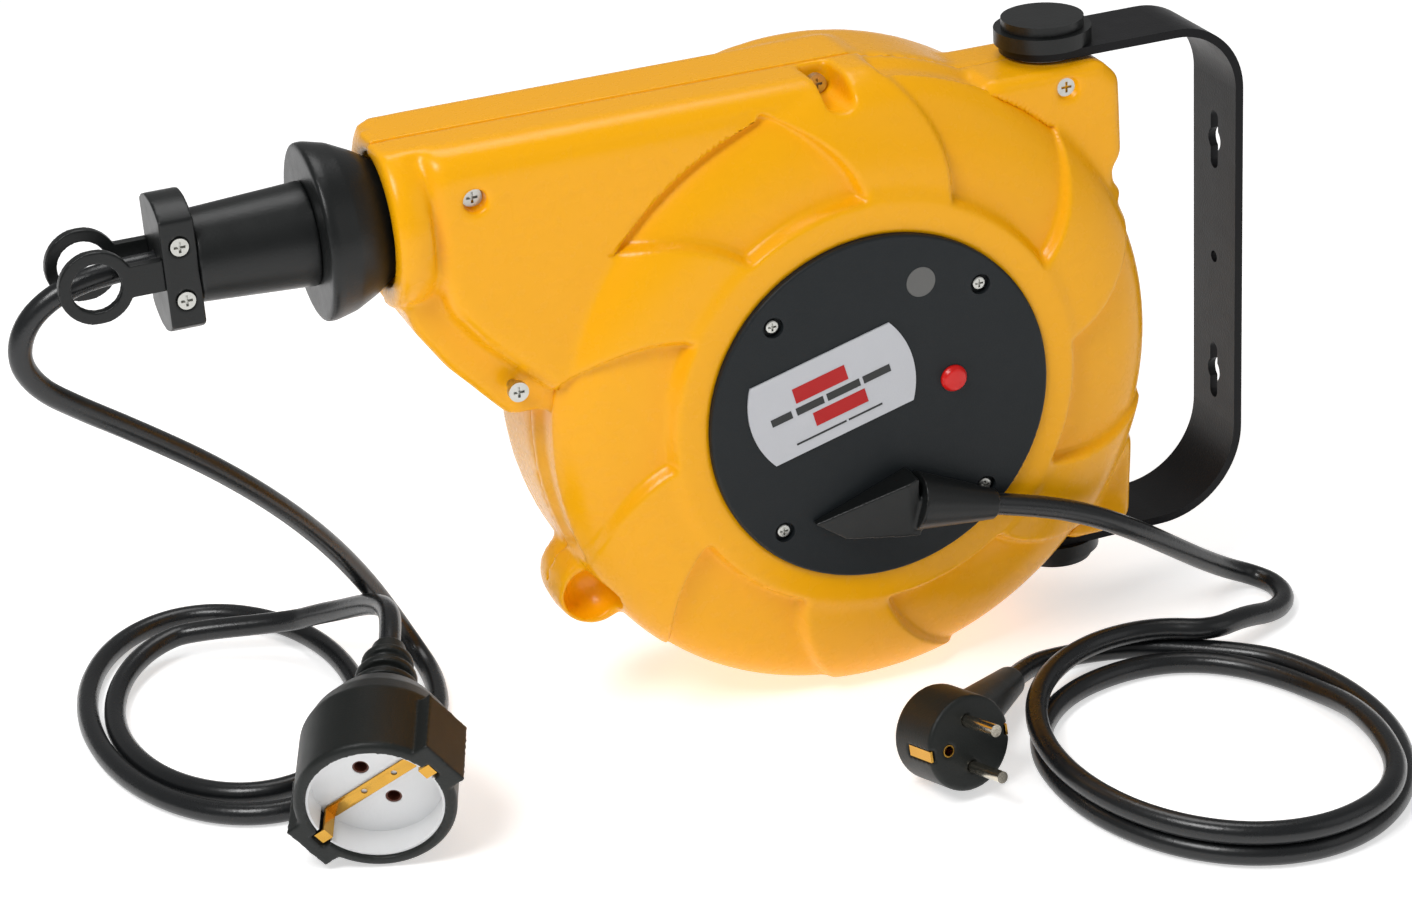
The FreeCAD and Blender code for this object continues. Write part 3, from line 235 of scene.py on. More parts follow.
def filleted(points: list[Flat], radii: list[float], steps: int = 5, closed: bool = False) -> list[Flat]:
    """Rounds the corners of a flat line.

    Args:
        points: the line's corners.
        radii: one radius for each corner, 0 to keep it sharp.
        steps: faces in each round.
        closed: whether the last corner joins the first.

    Returns:
        The corners with arcs in place of the rounded ones.
    """
    result: list[Flat] = []
    count = len(points)
    for index, (here, radius) in enumerate(zip(points, radii)):
        at_end = not closed and index in (0, count - 1)
        if at_end or radius <= 0:
            result.append(here)
            continue
        spot = Vector(here)
        before = Vector(points[index - 1]) - spot
        after = Vector(points[(index + 1) % count]) - spot
        angle = before.angle(after)
        reach = min(radius / math.tan(angle / 2), before.length * 0.49, after.length * 0.49)
        start = spot + before.normalized() * reach
        finish = spot + after.normalized() * reach
        for step in range(steps + 1):
            t = step / steps
            curve = start * (1 - t) ** 2 + spot * (2 * t * (1 - t)) + finish * t ** 2
            result.append((curve.x, curve.y))
    return result


def spun(name: str, profile: list[Flat], origin: Vector, along: Vector, steps: int = 72) -> bpy.types.Object:
    """A solid of revolution.

    Args:
        name: the piece's name.
        profile: (radius, distance along the axis) from one pole or rim to the other.
        origin: where distance 0 is.
        along: the axis' direction.
        steps: faces round the axis.

    Returns:
        The mesh object, its doubles merged and its faces outwards.
    """
    radius = np.array([max(p[0], 0.0) for p in profile])
    reach = np.array([p[1] for p in profile])
    turn = Vector((0, 0, 1)).rotation_difference(along)
    last = len(profile) - 1

    def place(u: np.ndarray, v: np.ndarray) -> np.ndarray:
        """Puts the grid round the axis.

        Args:
            u: how far along the profile, 0 to 1.
            v: how far round the axis, 0 to 1.

        Returns:
            An (n, 3) array of places.
        """
        index = np.rint(u * last).astype(int)
        angle = np.rint(v * steps) * (2 * math.pi / steps)
        flat = np.stack([radius[index] * np.cos(angle), radius[index] * np.sin(angle), reach[index]], 1)
        matrix = np.array(turn.to_matrix())
        return flat @ matrix.T + np.array(origin)

    piece = wrapped(name, last, steps, place)
    clean(piece, DOUBLES)
    smooth(piece, 35)
    return piece


def slab(name: str, outline: list[Flat], low: float, high: float, normal: str = "Y") -> bpy.types.Object:
    """A flat outline given a thickness.

    Args:
        name: the piece's name.
        outline: closed outline, as (x, z) for normal Y, (y, z) for X and (x, y) for Z.
        low: where the solid starts along its normal.
        high: where it ends.
        normal: the outline's normal axis.

    Returns:
        The mesh object, faces outwards.
    """

    def lift(p: Flat, far: float) -> Point:
        """A point of the outline at a height.

        Args:
            p: the point in the outline's plane.
            far: how far along the normal.

        Returns:
            The point in the frame.
        """
        return {"Y": (p[0], far, p[1]), "X": (far, p[0], p[1]), "Z": (p[0], p[1], far)}[normal]

    bpy.ops.object.select_all(action="DESELECT")
    bpy.ops.mesh.primitive_circle_add(vertices=len(outline), fill_type="NGON")
    piece = bpy.context.object
    piece.name = name
    piece.data.name = name
    for vertex, p in zip(piece.data.vertices, outline):
        vertex.co = lift(p, low)
    move = Vector(lift((0, 0), high)) - Vector(lift((0, 0), low))
    bpy.ops.object.mode_set(mode="EDIT")
    bpy.ops.mesh.select_all(action="SELECT")
    bpy.ops.mesh.extrude_region_move(TRANSFORM_OT_translate={"value": move})
    bpy.ops.mesh.select_all(action="SELECT")
    bpy.ops.mesh.normals_make_consistent(inside=False)
    bpy.ops.object.mode_set(mode="OBJECT")
    return piece


def bevelled(
    piece: bpy.types.Object, width: float, segments: int = 3, angle: float = 30.0
) -> bpy.types.Object:
    """Rounds a piece's sharp edges.

    Args:
        piece: the mesh object.
        width: the bevel's width.
        segments: faces across the bevel.
        angle: edges sharper than this many degrees are rounded.

    Returns:
        The piece.
    """
    apply_modifier(
        piece,
        "BEVEL",
        width=width,
        segments=segments,
        limit_method="ANGLE",
        angle_limit=math.radians(angle),
        use_clamp_overlap=True,
    )
    smooth(piece)
    return piece


def carved(piece: bpy.types.Object, tool: bpy.types.Object) -> bpy.types.Object:
    """Cuts a tool out of a piece and deletes the tool.

    Args:
        piece: the mesh object.
        tool: the cutter.

    Returns:
        The piece.
    """
    apply_modifier(piece, "BOOLEAN", object=tool, operation="DIFFERENCE", solver="EXACT")
    bpy.data.objects.remove(tool, do_unlink=True)
    return piece


def joined(name: str, pieces: list[bpy.types.Object]) -> bpy.types.Object:
    """Several meshes as one object.

    Args:
        name: the new object's name.
        pieces: the meshes, used up.

    Returns:
        The one object.
    """
    only(pieces[0])
    for piece in pieces[1:]:
        piece.select_set(True)
    bpy.ops.object.join()
    result = bpy.context.object
    result.name = name
    result.data.name = name
    return result


def halved(piece: bpy.types.Object, side: int) -> bpy.types.Object:
    """Keeps only the part of a closed piece on one side of the parting plane.

    Args:
        piece: the mesh object.
        side: 1 for the rear, -1 for the front.

    Returns:
        The piece, closed at the plane.
    """
    only(piece)
    bpy.ops.object.mode_set(mode="EDIT")
    bpy.ops.mesh.select_all(action="SELECT")
    bpy.ops.mesh.bisect(
        plane_co=(0, 0, 0), plane_no=BACK, use_fill=True, clear_inner=side > 0, clear_outer=side < 0
    )
    bpy.ops.object.mode_set(mode="OBJECT")
    return piece


def softened(name: str, node: str, voxel: float, soften: int, added: tuple = ()) -> bpy.types.Object:
    """A copy of a CAD node with its edges rounded off, and with pieces grown onto it.

    Args:
        name: the new piece's name.
        node: the CAD node.
        voxel: the size of the new skin's faces.
        soften: how many times the skin is relaxed.
        added: pieces to grow on.

    Returns:
        The new mesh object.
    """
    source = frame["nodes"][node]
    piece = bpy.data.objects.new(name, source.data.copy())
    bpy.context.scene.collection.objects.link(piece)
    piece.data.name = name
    piece.data.transform(source.matrix_world)
    clean(piece, DOUBLES)
    if added:
        piece = joined(name, [piece, *added])
    return remeshed(piece, voxel, soften)


def moved(piece: bpy.types.Object, matrix: Matrix) -> bpy.types.Object:
    """Moves the mesh itself, so that the object stays at the origin.

    Args:
        piece: the mesh object.
        matrix: the move.

    Returns:
        The piece.
    """
    piece.data.transform(matrix)
    piece.data.update()
    return piece


def skinned(piece: bpy.types.Object, voxel: float) -> None:
    """Turns overlapping solids into one even skin.

    Args:
        piece: the mesh object.
        voxel: the size of the skin's faces.
    """
    apply_modifier(piece, "REMESH", mode="VOXEL", voxel_size=voxel, adaptivity=0.0)


def remeshed(piece: bpy.types.Object, voxel: float, soften: int) -> bpy.types.Object:
    """Turns overlapping solids into one even skin and softens its edges.

    Args:
        piece: the mesh object.
        voxel: the size of the skin's faces.
        soften: how many times the skin is relaxed.

    Returns:
        The piece, shaded smooth.
    """
    skinned(piece, voxel)
    apply_modifier(piece, "SMOOTH", factor=RELAX, iterations=soften)
    only(piece)
    bpy.ops.object.shade_smooth()
    return piece


def turned_to(direction: Vector, roll: float = 0.0) -> Matrix:
    """A turn that takes +Y to a direction, after a roll about +Y.

    Args:
        direction: where +Y ends up.
        roll: the roll before it, in radians.

    Returns:
        The turn.
    """
    lean = BACK.rotation_difference(direction)
    return (lean @ Quaternion(BACK, roll)).to_matrix().to_4x4()


# ------------------------------------------------------------------ finishes


def new_group(name: str, inputs: list[tuple[str, str, object]], outputs: list[tuple[str, str]]) -> GroupParts:
    """An empty shader node group.

    Args:
        name: the group's name.
        inputs: (name, socket type, default) for each input.
        outputs: (name, socket type) for each output.

    Returns:
        The group, its input node and its output node.
    """
    group = bpy.data.node_groups.new(name, "ShaderNodeTree")
    for label, kind, default in inputs:
        socket = group.interface.new_socket(label, in_out="INPUT", socket_type=kind)
        if default is not None:
            socket.default_value = default
    for label, kind in outputs:
        group.interface.new_socket(label, in_out="OUTPUT", socket_type=kind)
    return group, group.nodes.new("NodeGroupInput"), group.nodes.new("NodeGroupOutput")


def tone_group() -> bpy.types.NodeTree:
    """Slow drift between two tones, and finer mottling.

    Returns:
        The node group.
    """
    group, start, end = new_group(
        "tone_drift",
        [
            ("Vector", "NodeSocketVector", None),
            ("Tone", "NodeSocketColor", None),
            ("Other", "NodeSocketColor", None),
            ("Scale", "NodeSocketFloat", 12.0),
            ("Rough", "NodeSocketFloat", 0.4),
            ("Spread", "NodeSocketFloat", 0.1),
        ],
        [("Color", "NodeSocketColor"), ("Roughness", "NodeSocketFloat")],
    )
    nodes, links = group.nodes, group.links
    wide = nodes.new("ShaderNodeTexNoise")
    wide.inputs["Detail"].default_value = 4.0
    links.new(start.outputs["Vector"], wide.inputs["Vector"])
    links.new(start.outputs["Scale"], wide.inputs["Scale"])
    mix = nodes.new("ShaderNodeMix")
    mix.data_type = "RGBA"
    links.new(wide.outputs["Fac"], mix.inputs["Factor"])
    links.new(start.outputs["Tone"], mix.inputs[6])
    links.new(start.outputs["Other"], mix.inputs[7])
    links.new(mix.outputs[2], end.inputs["Color"])
    fine = nodes.new("ShaderNodeTexNoise")
    fine.inputs["Scale"].default_value = 140.0
    fine.inputs["Detail"].default_value = 6.0
    links.new(start.outputs["Vector"], fine.inputs["Vector"])
    centred = nodes.new("ShaderNodeMath")
    centred.operation = "SUBTRACT"
    centred.inputs[1].default_value = 0.5
    links.new(fine.outputs["Fac"], centred.inputs[0])
    spread = nodes.new("ShaderNodeMath")
    spread.operation = "MULTIPLY_ADD"
    links.new(centred.outputs[0], spread.inputs[0])
    links.new(start.outputs["Spread"], spread.inputs[1])
    links.new(start.outputs["Rough"], spread.inputs[2])
    links.new(spread.outputs[0], end.inputs["Roughness"])
    return group


def grain_group() -> bpy.types.NodeTree:
    """Fine moulded texture with slow waves under it, as a height.

    Returns:
        The node group.
    """
    group, start, end = new_group(
        "moulded_grain",
        [
            ("Vector", "NodeSocketVector", None),
            ("Scale", "NodeSocketFloat", 900.0),
            ("Fine", "NodeSocketFloat", 1.0),
            ("Waves", "NodeSocketFloat", 0.5),
        ],
        [("Height", "NodeSocketFloat")],
    )
    nodes, links = group.nodes, group.links
    grain = nodes.new("ShaderNodeTexNoise")
    grain.inputs["Detail"].default_value = 3.0
    waves = nodes.new("ShaderNodeTexNoise")
    waves.inputs["Scale"].default_value = 35.0
    links.new(start.outputs["Vector"], grain.inputs["Vector"])
    links.new(start.outputs["Scale"], grain.inputs["Scale"])
    links.new(start.outputs["Vector"], waves.inputs["Vector"])
    first = nodes.new("ShaderNodeMath")
    first.operation = "MULTIPLY"
    links.new(grain.outputs["Fac"], first.inputs[0])
    links.new(start.outputs["Fine"], first.inputs[1])
    total = nodes.new("ShaderNodeMath")
    total.operation = "MULTIPLY_ADD"
    links.new(waves.outputs["Fac"], total.inputs[0])
    links.new(start.outputs["Waves"], total.inputs[1])
    links.new(first.outputs[0], total.inputs[2])
    links.new(total.outputs[0], end.inputs["Height"])
    return group


TONE = tone_group()
GRAIN = grain_group()


class Kind(Enum):
    """How a finish takes the light."""

    PLASTIC = "plastic"
    RUBBER = "rubber"
    METAL = "metal"


@dataclass(frozen=True)
class Finish:
    """One surface: its two tones, how rough it is and its grain.

    Attributes:
        name: the material's name.
        tone: the first tone, linear.
        other: the second tone, linear.
        rough: the middle of its roughness.
        kind: how it takes the light.
        spread: how far the roughness wanders.
        drift: how fine the tones' pattern is.
        grain: how fine the moulded texture is.
        depth: how deep the texture is, in metres.
        waves: how strong the slow waves are.
        stretch: the pattern's scale along x, y and z.
        coat: the clear coat's weight.
        gloss: the strength of the mirror light.
    """

    name: str
    tone: Point
    other: Point
    rough: float
    kind: Kind = Kind.PLASTIC
    spread: float = 0.12
    drift: float = 14.0
    grain: float = 900.0
    depth: float = 0.00006
    waves: float = 0.3
    stretch: Point = (1.0, 1.0, 1.0)
    coat: float = 0.0
    gloss: float = 0.5

    def build(self) -> bpy.types.Material:
        """Makes the material once.

        Returns:
            The material.
        """
        known = bpy.data.materials.get(self.name)
        if known:
            return known
        material = bpy.data.materials.new(self.name)
        material.use_nodes = True
        nodes, links = material.node_tree.nodes, material.node_tree.links
        shader = nodes["Principled BSDF"]
        place = nodes.new("ShaderNodeTexCoord")
        mapping = nodes.new("ShaderNodeMapping")
        mapping.inputs["Scale"].default_value = self.stretch
        links.new(place.outputs["Object"], mapping.inputs["Vector"])
        tone = nodes.new("ShaderNodeGroup")
        tone.node_tree = TONE
        tone.inputs["Tone"].default_value = (*self.tone, 1)
        tone.inputs["Other"].default_value = (*self.other, 1)
        tone.inputs["Scale"].default_value = self.drift
        tone.inputs["Rough"].default_value = self.rough
        tone.inputs["Spread"].default_value = self.spread
        grain = nodes.new("ShaderNodeGroup")
        grain.node_tree = GRAIN
        grain.inputs["Scale"].default_value = self.grain
        grain.inputs["Waves"].default_value = self.waves
        for group in (tone, grain):
            links.new(mapping.outputs["Vector"], group.inputs["Vector"])
        bump = nodes.new("ShaderNodeBump")
        bump.inputs["Distance"].default_value = self.depth
        links.new(grain.outputs["Height"], bump.inputs["Height"])
        links.new(bump.outputs["Normal"], shader.inputs["Normal"])
        links.new(tone.outputs["Color"], shader.inputs["Base Color"])
        links.new(tone.outputs["Roughness"], shader.inputs["Roughness"])
        shader.inputs["Metallic"].default_value = 1.0 if self.kind is Kind.METAL else 0.0
        shader.inputs["Coat Weight"].default_value = self.coat
        shader.inputs["Coat Roughness"].default_value = 0.12
        shader.inputs["Specular IOR Level"].default_value = self.gloss
        if self.kind is Kind.RUBBER:
            shader.inputs["Sheen Weight"].default_value = 0.015
        return material

    def dress(self, piece: bpy.types.Object) -> bpy.types.Object:
        """Gives a piece this finish.

        Args:
            piece: the mesh object.

        Returns:
            The piece.
        """
        piece.data.materials.clear()
        piece.data.materials.append(self.build())
        return piece

    def dress_node(self, *names: str) -> None:
        """Gives CAD nodes this finish in all their material slots.

        Args:
            names: the nodes.
        """
        for name in names:
            for slot in frame["nodes"][name].material_slots:
                slot.material = self.build()


YELLOW = Finish(
    "yellow_case", (0.95, 0.435, 0.001), (0.92, 0.412, 0.001), 0.27,
    drift=6.0, spread=0.10, waves=0.6, depth=0.00004, gloss=0.3,
)
BLACK_COVER = Finish(
    "black_cover_grain", (0.008, 0.011, 0.013), (0.013, 0.016, 0.018), 0.50,
    grain=1500.0, depth=0.0001, gloss=0.25,
)
BLACK_FITTING = Finish("black_fitting", (0.005, 0.006, 0.006), (0.009, 0.010, 0.010), 0.36, gloss=0.35)
STRAP_COAT = Finish(
    "strap_coat", (0.004, 0.004, 0.005), (0.007, 0.007, 0.008), 0.36,
    grain=1100.0, depth=0.00008, waves=0.8, gloss=0.16,
)
CORD_SHEATH = Finish(
    "cord_sheath", (0.005, 0.006, 0.007), (0.009, 0.010, 0.011), 0.28, Kind.RUBBER, grain=600.0, gloss=0.5
)
MOULDED_RUBBER = Finish(
    "moulded_rubber_skin", (0.007, 0.009, 0.008), (0.012, 0.014, 0.013), 0.44, Kind.RUBBER,
    grain=1300.0, depth=0.00009, gloss=0.3,
)
ZINC = Finish(
    "zinc_plate", (0.60, 0.60, 0.57), (0.44, 0.44, 0.41), 0.30, Kind.METAL, drift=300.0, depth=0.00003
)
STEEL = Finish(
    "turned_steel", (0.50, 0.50, 0.50), (0.38, 0.38, 0.39), 0.34, Kind.METAL,
    stretch=(1.0, 6.0, 1.0), depth=0.00003,
)
BRASS = Finish(
    "stamped_brass", (0.66, 0.37, 0.07), (0.56, 0.30, 0.05), 0.24, Kind.METAL, drift=120.0, depth=0.00003
)
CONTACT = Finish("dull_contact", (0.13, 0.035, 0.018), (0.09, 0.022, 0.012), 0.5, drift=120.0)
NICKEL = Finish(
    "nickel_pin_skin", (0.78, 0.73, 0.62), (0.62, 0.57, 0.47), 0.20, Kind.METAL, drift=160.0, depth=0.00002
)
NYLON = Finish("natural_nylon", (0.76, 0.74, 0.66), (0.70, 0.68, 0.60), 0.45)
WHITE = Finish("white_moulding", (0.82, 0.83, 0.84), (0.77, 0.78, 0.79), 0.38)
PHENOLIC = Finish("brown_phenolic", (0.16, 0.05, 0.03), (0.12, 0.035, 0.02), 0.42)
RED = Finish("red_button_skin", (0.70, 0.012, 0.010), (0.62, 0.010, 0.008), 0.26, gloss=0.4)
GREY = Finish("grey_blank_skin", (0.135, 0.135, 0.13), (0.105, 0.105, 0.10), 0.5)
PLATE = Finish("name_plate_foil", (0.56, 0.57, 0.60), (0.50, 0.51, 0.54), 0.36, drift=40.0)
MARK_RED = Finish("plate_mark_red", (0.48, 0.008, 0.008), (0.42, 0.007, 0.007), 0.40, gloss=0.3)
MARK_BLACK = Finish("plate_mark_black", (0.01, 0.012, 0.012), (0.02, 0.022, 0.022), 0.45)
DRUM = Finish("drum_moulding", (0.025, 0.025, 0.028), (0.035, 0.035, 0.038), 0.5)


def frame_slot(node: str) -> str:
    """The material slot that the record gives a node.

    Args:
        node: the CAD node's name.

    Returns:
        The slot's name.

    Raises:
        KeyError: the record has no such node.
    """
    for part in frame["record"]["subparts"]:
        if part["node"] == node:
            return part["material_slot"]
    raise KeyError(node)


def settle(piece: bpy.types.Object, body: str, slot: str, *stands_for: str) -> bpy.types.Object:
    """Puts a finished piece on its body and hides the CAD nodes that it replaces.

    Args:
        piece: the piece.
        body: the CAD body that it moves with.
        slot: the record's material slot; not used.
        stands_for: CAD nodes that it replaces.

    Returns:
        The piece.
    """
    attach(piece, body)
    if stands_for:
        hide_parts(*stands_for)
    return piece


# ------------------------------------------------------------------ case


@dataclass
class Case:
    """The two yellow half shells: dished drum case, neck, pivot corners and lug.

    Attributes:
        radius: the drum case's outer radius.
        front: how far the front face lies before the parting plane.
        rear: how far the rear face lies behind it.
        ring: where the cover's ring ends and the dish begins.
        rim_drop: how far the dish falls towards the rim.
        panel_depth: how deep the swirled panels are sunk.
        panel_angle: how wide each panel is, in degrees.
        swirl: how far a panel leans towards the rim, in degrees.
        voxel: the front skin's face size.
        rear_voxel: the rear skin's face size.
        neck_front: the neck's depth before the parting plane.
        neck_rear: the neck's depth behind it.
        neck_end: how far the mouth is from the axle.
        lip_wide: how wide the mouth's lip is.
        cable_high: how high the cable leaves above the axle.
        lug_angle: where the lug is, in degrees.
        seam_band: the strip beside the parting plane that isn't relaxed.
        guide_pull: how far the guide frame is drawn in.
        crease: how far the panels' inner edge drops off the ring.
    """

    radius: float = 0.130
    front: float = 0.045
    rear: float = 0.050
    ring: float = 0.0845
    rim_drop: float = 0.026
    panel_depth: float = 0.0052
    panel_angle: float = 36.0
    swirl: float = 16.0
    voxel: float = 0.00128
    rear_voxel: float = 0.0022
    neck_front: float = 0.030
    neck_rear: float = 0.035
    neck_end: float = 0.1815
    lip_wide: float = 0.0125
    cable_high: float = 0.100
    lug_angle: float = 211.0
    seam_band: float = 0.0025
    guide_pull: float = 0.78
    crease: float = 0.0018

    def dish_height(self, r: np.ndarray) -> np.ndarray:
        """How far the front surface lies before the parting plane.

        Args:
            r: the distance from the axle.

        Returns:
            The depth at each distance.
        """
        t = np.clip((r - self.ring) / (self.radius - self.ring), 0.0, 1.0)
        drop = self.crease * eased(r, self.ring - 0.001, self.ring + 0.006)
        return self.front - drop - (self.rim_drop - self.crease) * (1 - np.sqrt(1 - t ** 2.15 * 0.9999))

    def front_dish(self) -> bpy.types.Object:
        """The turned body of the front half, before its panels are sunk.

        Returns:
            The mesh object.
        """
        radii = np.concatenate([[0.0, 0.060], np.linspace(0.070, self.radius, 46)])
        profile = [(float(r), float(self.dish_height(np.array(r)))) for r in radii]
        profile += [(self.radius, 0.008), (self.radius, 0.0), (0.0, 0.0)]
        return spun("front_dish", profile, at(0, 0, 0), FRONT, 160)

    def rear_dish(self) -> bpy.types.Object:
        """The turned body of the rear half.

        Returns:
            The mesh object.
        """
        profile = filleted(
            [
                (0.0, 0.0), (self.radius, 0.0), (self.radius, self.rear), (0.096, self.rear),
                (0.093, self.rear - 0.003), (0.034, self.rear - 0.003), (0.031, self.rear), (0.0, self.rear),
            ],
            [0, 0, 0.026, 0.003, 0.003, 0.003, 0.002, 0],
            8,
        )
        return spun("rear_dish", profile, at(0, 0, 0), BACK, 128)

    def neck_outline(self, inset: float, side: float) -> list[Flat]:
        """The neck's outline from the front.

        Args:
            inset: how far its outer faces are drawn in.
            side: how far the mouth is drawn in.

        Returns:
            The closed outline.
        """
        end, top = -self.neck_end + side, self.radius + 0.001 - inset
        corners = [
            (0.014, top),
            (end, top),
            (end, 0.078 + 0.3 * side),
            (end + 0.004, 0.060 + 0.5 * side),
            (end + 0.016, 0.042 + 0.7 * side),
            (-0.143 + 1.2 * side, 0.017 + 0.7 * side),
            (-0.110, 0.017 + side),
            (-0.060, 0.080),
            (0.050, 0.085),
            (0.046, 0.112),
        ]
        radii = [0.012, 0.006, 0.02, 0.02, 0.03, 0.004, 0, 0, 0, 0.004]
        flat = filleted(corners, radii, 4, closed=True)
        return [(CENTRE.x + x, CENTRE.z + z) for x, z in flat]

    def neck(self, side: int) -> list[bpy.types.Object]:
        """One half of the neck: a flange along the mouth and the thicker part behind it.

        Args:
            side: 1 for the rear, -1 for the front.

        Returns:
            Overlapping slices, from the widest to the narrowest.
        """
        deep = self.neck_front if side < 0 else self.neck_rear
        flange = 0.0165 if side < 0 else 0.026
        round_off, steps, flange_round = 0.012, 7, 0.003
        layers = []
        for step in range(steps + 1):
            angle = math.pi / 2 * step / steps
            inset = round_off * (1 - math.cos(angle))
            far = deep - round_off + round_off * math.sin(angle)
            layers.append(self.neck_layer(side, inset, self.lip_wide + inset * 0.5, far))
        for angle in (0.0, 0.5, 1.0, 1.57):
            lift, back = flange_round * math.sin(angle), flange_round * (1 - math.cos(angle))
            layers.append(self.neck_layer(side, back, back, flange + lift))
        return layers

    def neck_layer(self, side: int, inset: float, mouth: float, far: float) -> bpy.types.Object:
        """One slice of the neck, from the parting plane outwards.

        Args:
            side: 1 for the rear, -1 for the front.
            inset: how far its outer faces are drawn in.
            mouth: how far the mouth is drawn in.
            far: how deep the slice is.

        Returns:
            The slice.
        """
        low, high = sorted((0.0, side * far))
        return slab("neck_layer", self.neck_outline(inset, mouth), low, high)

    def corners(self, side: int) -> list[bpy.types.Object]:
        """The blocks round the two pivots.

        Args:
            side: 1 for the rear, -1 for the front.

        Returns:
            Three nested slices of each block.
        """
        result = []
        pivot = middle("pivot_bolts").x - CENTRE.x
        bush_stands_out = 0.0015
        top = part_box("swivel_bushes")[1][2] - CENTRE.z - bush_stands_out
        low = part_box("swivel_bushes")[0][2] - CENTRE.z + bush_stands_out
        edge = pivot + 0.0235
        upper = [
            (0.040, top - 0.036), (0.058, top), (edge - 0.008, top), (edge - 0.001, top - 0.007),
            (edge, 0.077), (edge - 0.004, 0.071), (edge - 0.0035, 0.064),
            (edge + 0.001, 0.058), (0.08, 0.035),
        ]
        lower = [
            (0.060, low + 0.020), (0.074, low), (edge - 0.004, low), (edge + 0.002, low + 0.006),
            (edge + 0.0035, -0.052), (edge + 0.0015, -0.046), (edge + 0.0035, -0.040), (0.09, -0.030),
        ]
        upper_rounds, lower_rounds = (0, 0, 4, 4, 3, 2, 2, 3, 0), (0, 0, 4, 4, 3, 2, 3, 0)
        for outline, sizes in ((upper, upper_rounds), (lower, lower_rounds)):
            rounded = filleted(outline, [s / 1000 for s in sizes], 4, closed=True)
            for inset, far in ((0.0, 0.0215), (0.0012, 0.0238), (0.003, 0.025)):
                scale = 1 - inset / 0.11
                shrunk = [(CENTRE.x + x * scale, CENTRE.z + z * scale) for x, z in rounded]
                low_y, high_y = sorted((0.0, side * far))
                result.append(slab("corner", shrunk, low_y, high_y))
        return result

    def lug(self, side: int) -> bpy.types.Object:
        """The rounded ear at the lower left.

        Args:
            side: 1 for the rear, -1 for the front.

        Returns:
            One half of the ear.
        """
        angle = math.radians(self.lug_angle)
        centre = at(0.1315 * math.cos(angle), 0, 0.1315 * math.sin(angle))
        profile = filleted([(0.0, 0.0), (0.0165, 0.0), (0.0155, 0.015), (0.0, 0.015)], [0, 0, 0.004, 0], 4)
        return spun("lug", profile, centre, Vector((0, side, 0)), 48)

    def sunk(self, piece: bpy.types.Object) -> None:
        """Sinks the six swirled panels into the front dish.

        Args:
            piece: the front skin.
        """
        spots = read_spots(piece.data)
        x, z = spots[:, 0] - CENTRE.x, spots[:, 2] - CENTRE.z
        y = -spots[:, 1]
        r = np.hypot(x, z)
        angle = np.degrees(np.arctan2(z, x))
        t = np.clip((r - 0.082) / 0.046, 0.0, 1.2)
        lead, pitch = 12.0, 60.0
        turned = np.mod(angle - self.swirl * t ** 1.5 - 90.0 + lead, pitch) - lead
        inside = np.minimum(turned, self.panel_angle - turned) * math.pi / 180 * r
        mask = eased(inside, -0.0008, 0.0028) * eased(r, self.ring, self.ring + 0.0032)
        level = self.dish_height(r)
        on_dish = 1 - eased(np.abs(y - level), 0.002, 0.0045)
        fade = 1 - 0.30 * eased(r, 0.100, 0.126)
        depth = self.panel_depth * mask * fade
        front = on_dish * (r < self.radius - 0.0006)
        spots[:, 1] += depth * front
        rim = (1 - eased(np.abs(r - self.radius), 0.0004, 0.0018)) * eased(y, 0.002, 0.012)
        pull = 0.0028 * mask * rim / np.maximum(r, 1e-6)
        spots[:, 0] -= x * pull
        spots[:, 2] -= z * pull
        write_spots(piece.data, spots)

    def tool(self, name: str, outline: list[Flat], low: float, high: float) -> bpy.types.Object:
        """A cutter into the case from the front.

        Args:
            name: the cutter's name.
            outline: its outline round the axle.
            low: where it starts along y.
            high: where it ends.

        Returns:
            The cutter.
        """
        return slab(name, [(CENTRE.x + x, CENTRE.z + z) for x, z in outline], low, high)

    def half(self, side: int) -> bpy.types.Object:
        """One half of the case as one soft-edged skin.

        Args:
            side: 1 for the rear, -1 for the front.

        Returns:
            The mesh object.
        """
        dish = self.front_dish() if side < 0 else self.rear_dish()
        parts = [dish, *self.neck(side), *self.corners(side), self.lug(side), self.lip(side)]
        skin = joined("case_front" if side < 0 else "case_rear", parts)
        voxel = (self.voxel if side < 0 else self.rear_voxel) * 1.0
        skinned(skin, voxel)
        carved(skin, joined("cutters", self.cutters(side)))
        skinned(skin, voxel)
        away = skin.vertex_groups.new(name="away")
        away.add([v.index for v in skin.data.vertices if abs(v.co.y) > self.seam_band], 1.0, "REPLACE")
        apply_modifier(skin, "SMOOTH", factor=RELAX, iterations=6 if side < 0 else 5, vertex_group="away")
        if side < 0:
            self.sunk(skin)
            apply_modifier(skin, "SMOOTH", factor=RELAX, iterations=1, vertex_group="away")
        only(skin)
        bpy.ops.object.shade_smooth()
        return skin

    def lip(self, side: int) -> bpy.types.Object:
        """The rounded bead round one half of the cable's mouth.

        Args:
            side: 1 for the rear, -1 for the front.

        Returns:
            Half of the bead, no higher than the neck.
        """
        profile = filleted(
            [
                (0.0, 0.012), (0.0335, 0.012), (0.0350, 0.005), (0.0345, -0.002), (0.024, -0.002), (0.0, -0.002),
            ],
            [0, 0.002, 0.004, 0.005, 0.003, 0],
            6,
        )
        piece = spun("lip", profile, at(-self.neck_end, 0, self.cable_high), TO_WALL, 72)
        for vertex in piece.data.vertices:
            vertex.co.z = min(vertex.co.z, CENTRE.z + self.radius + 0.0008)
        return halved(piece, side)

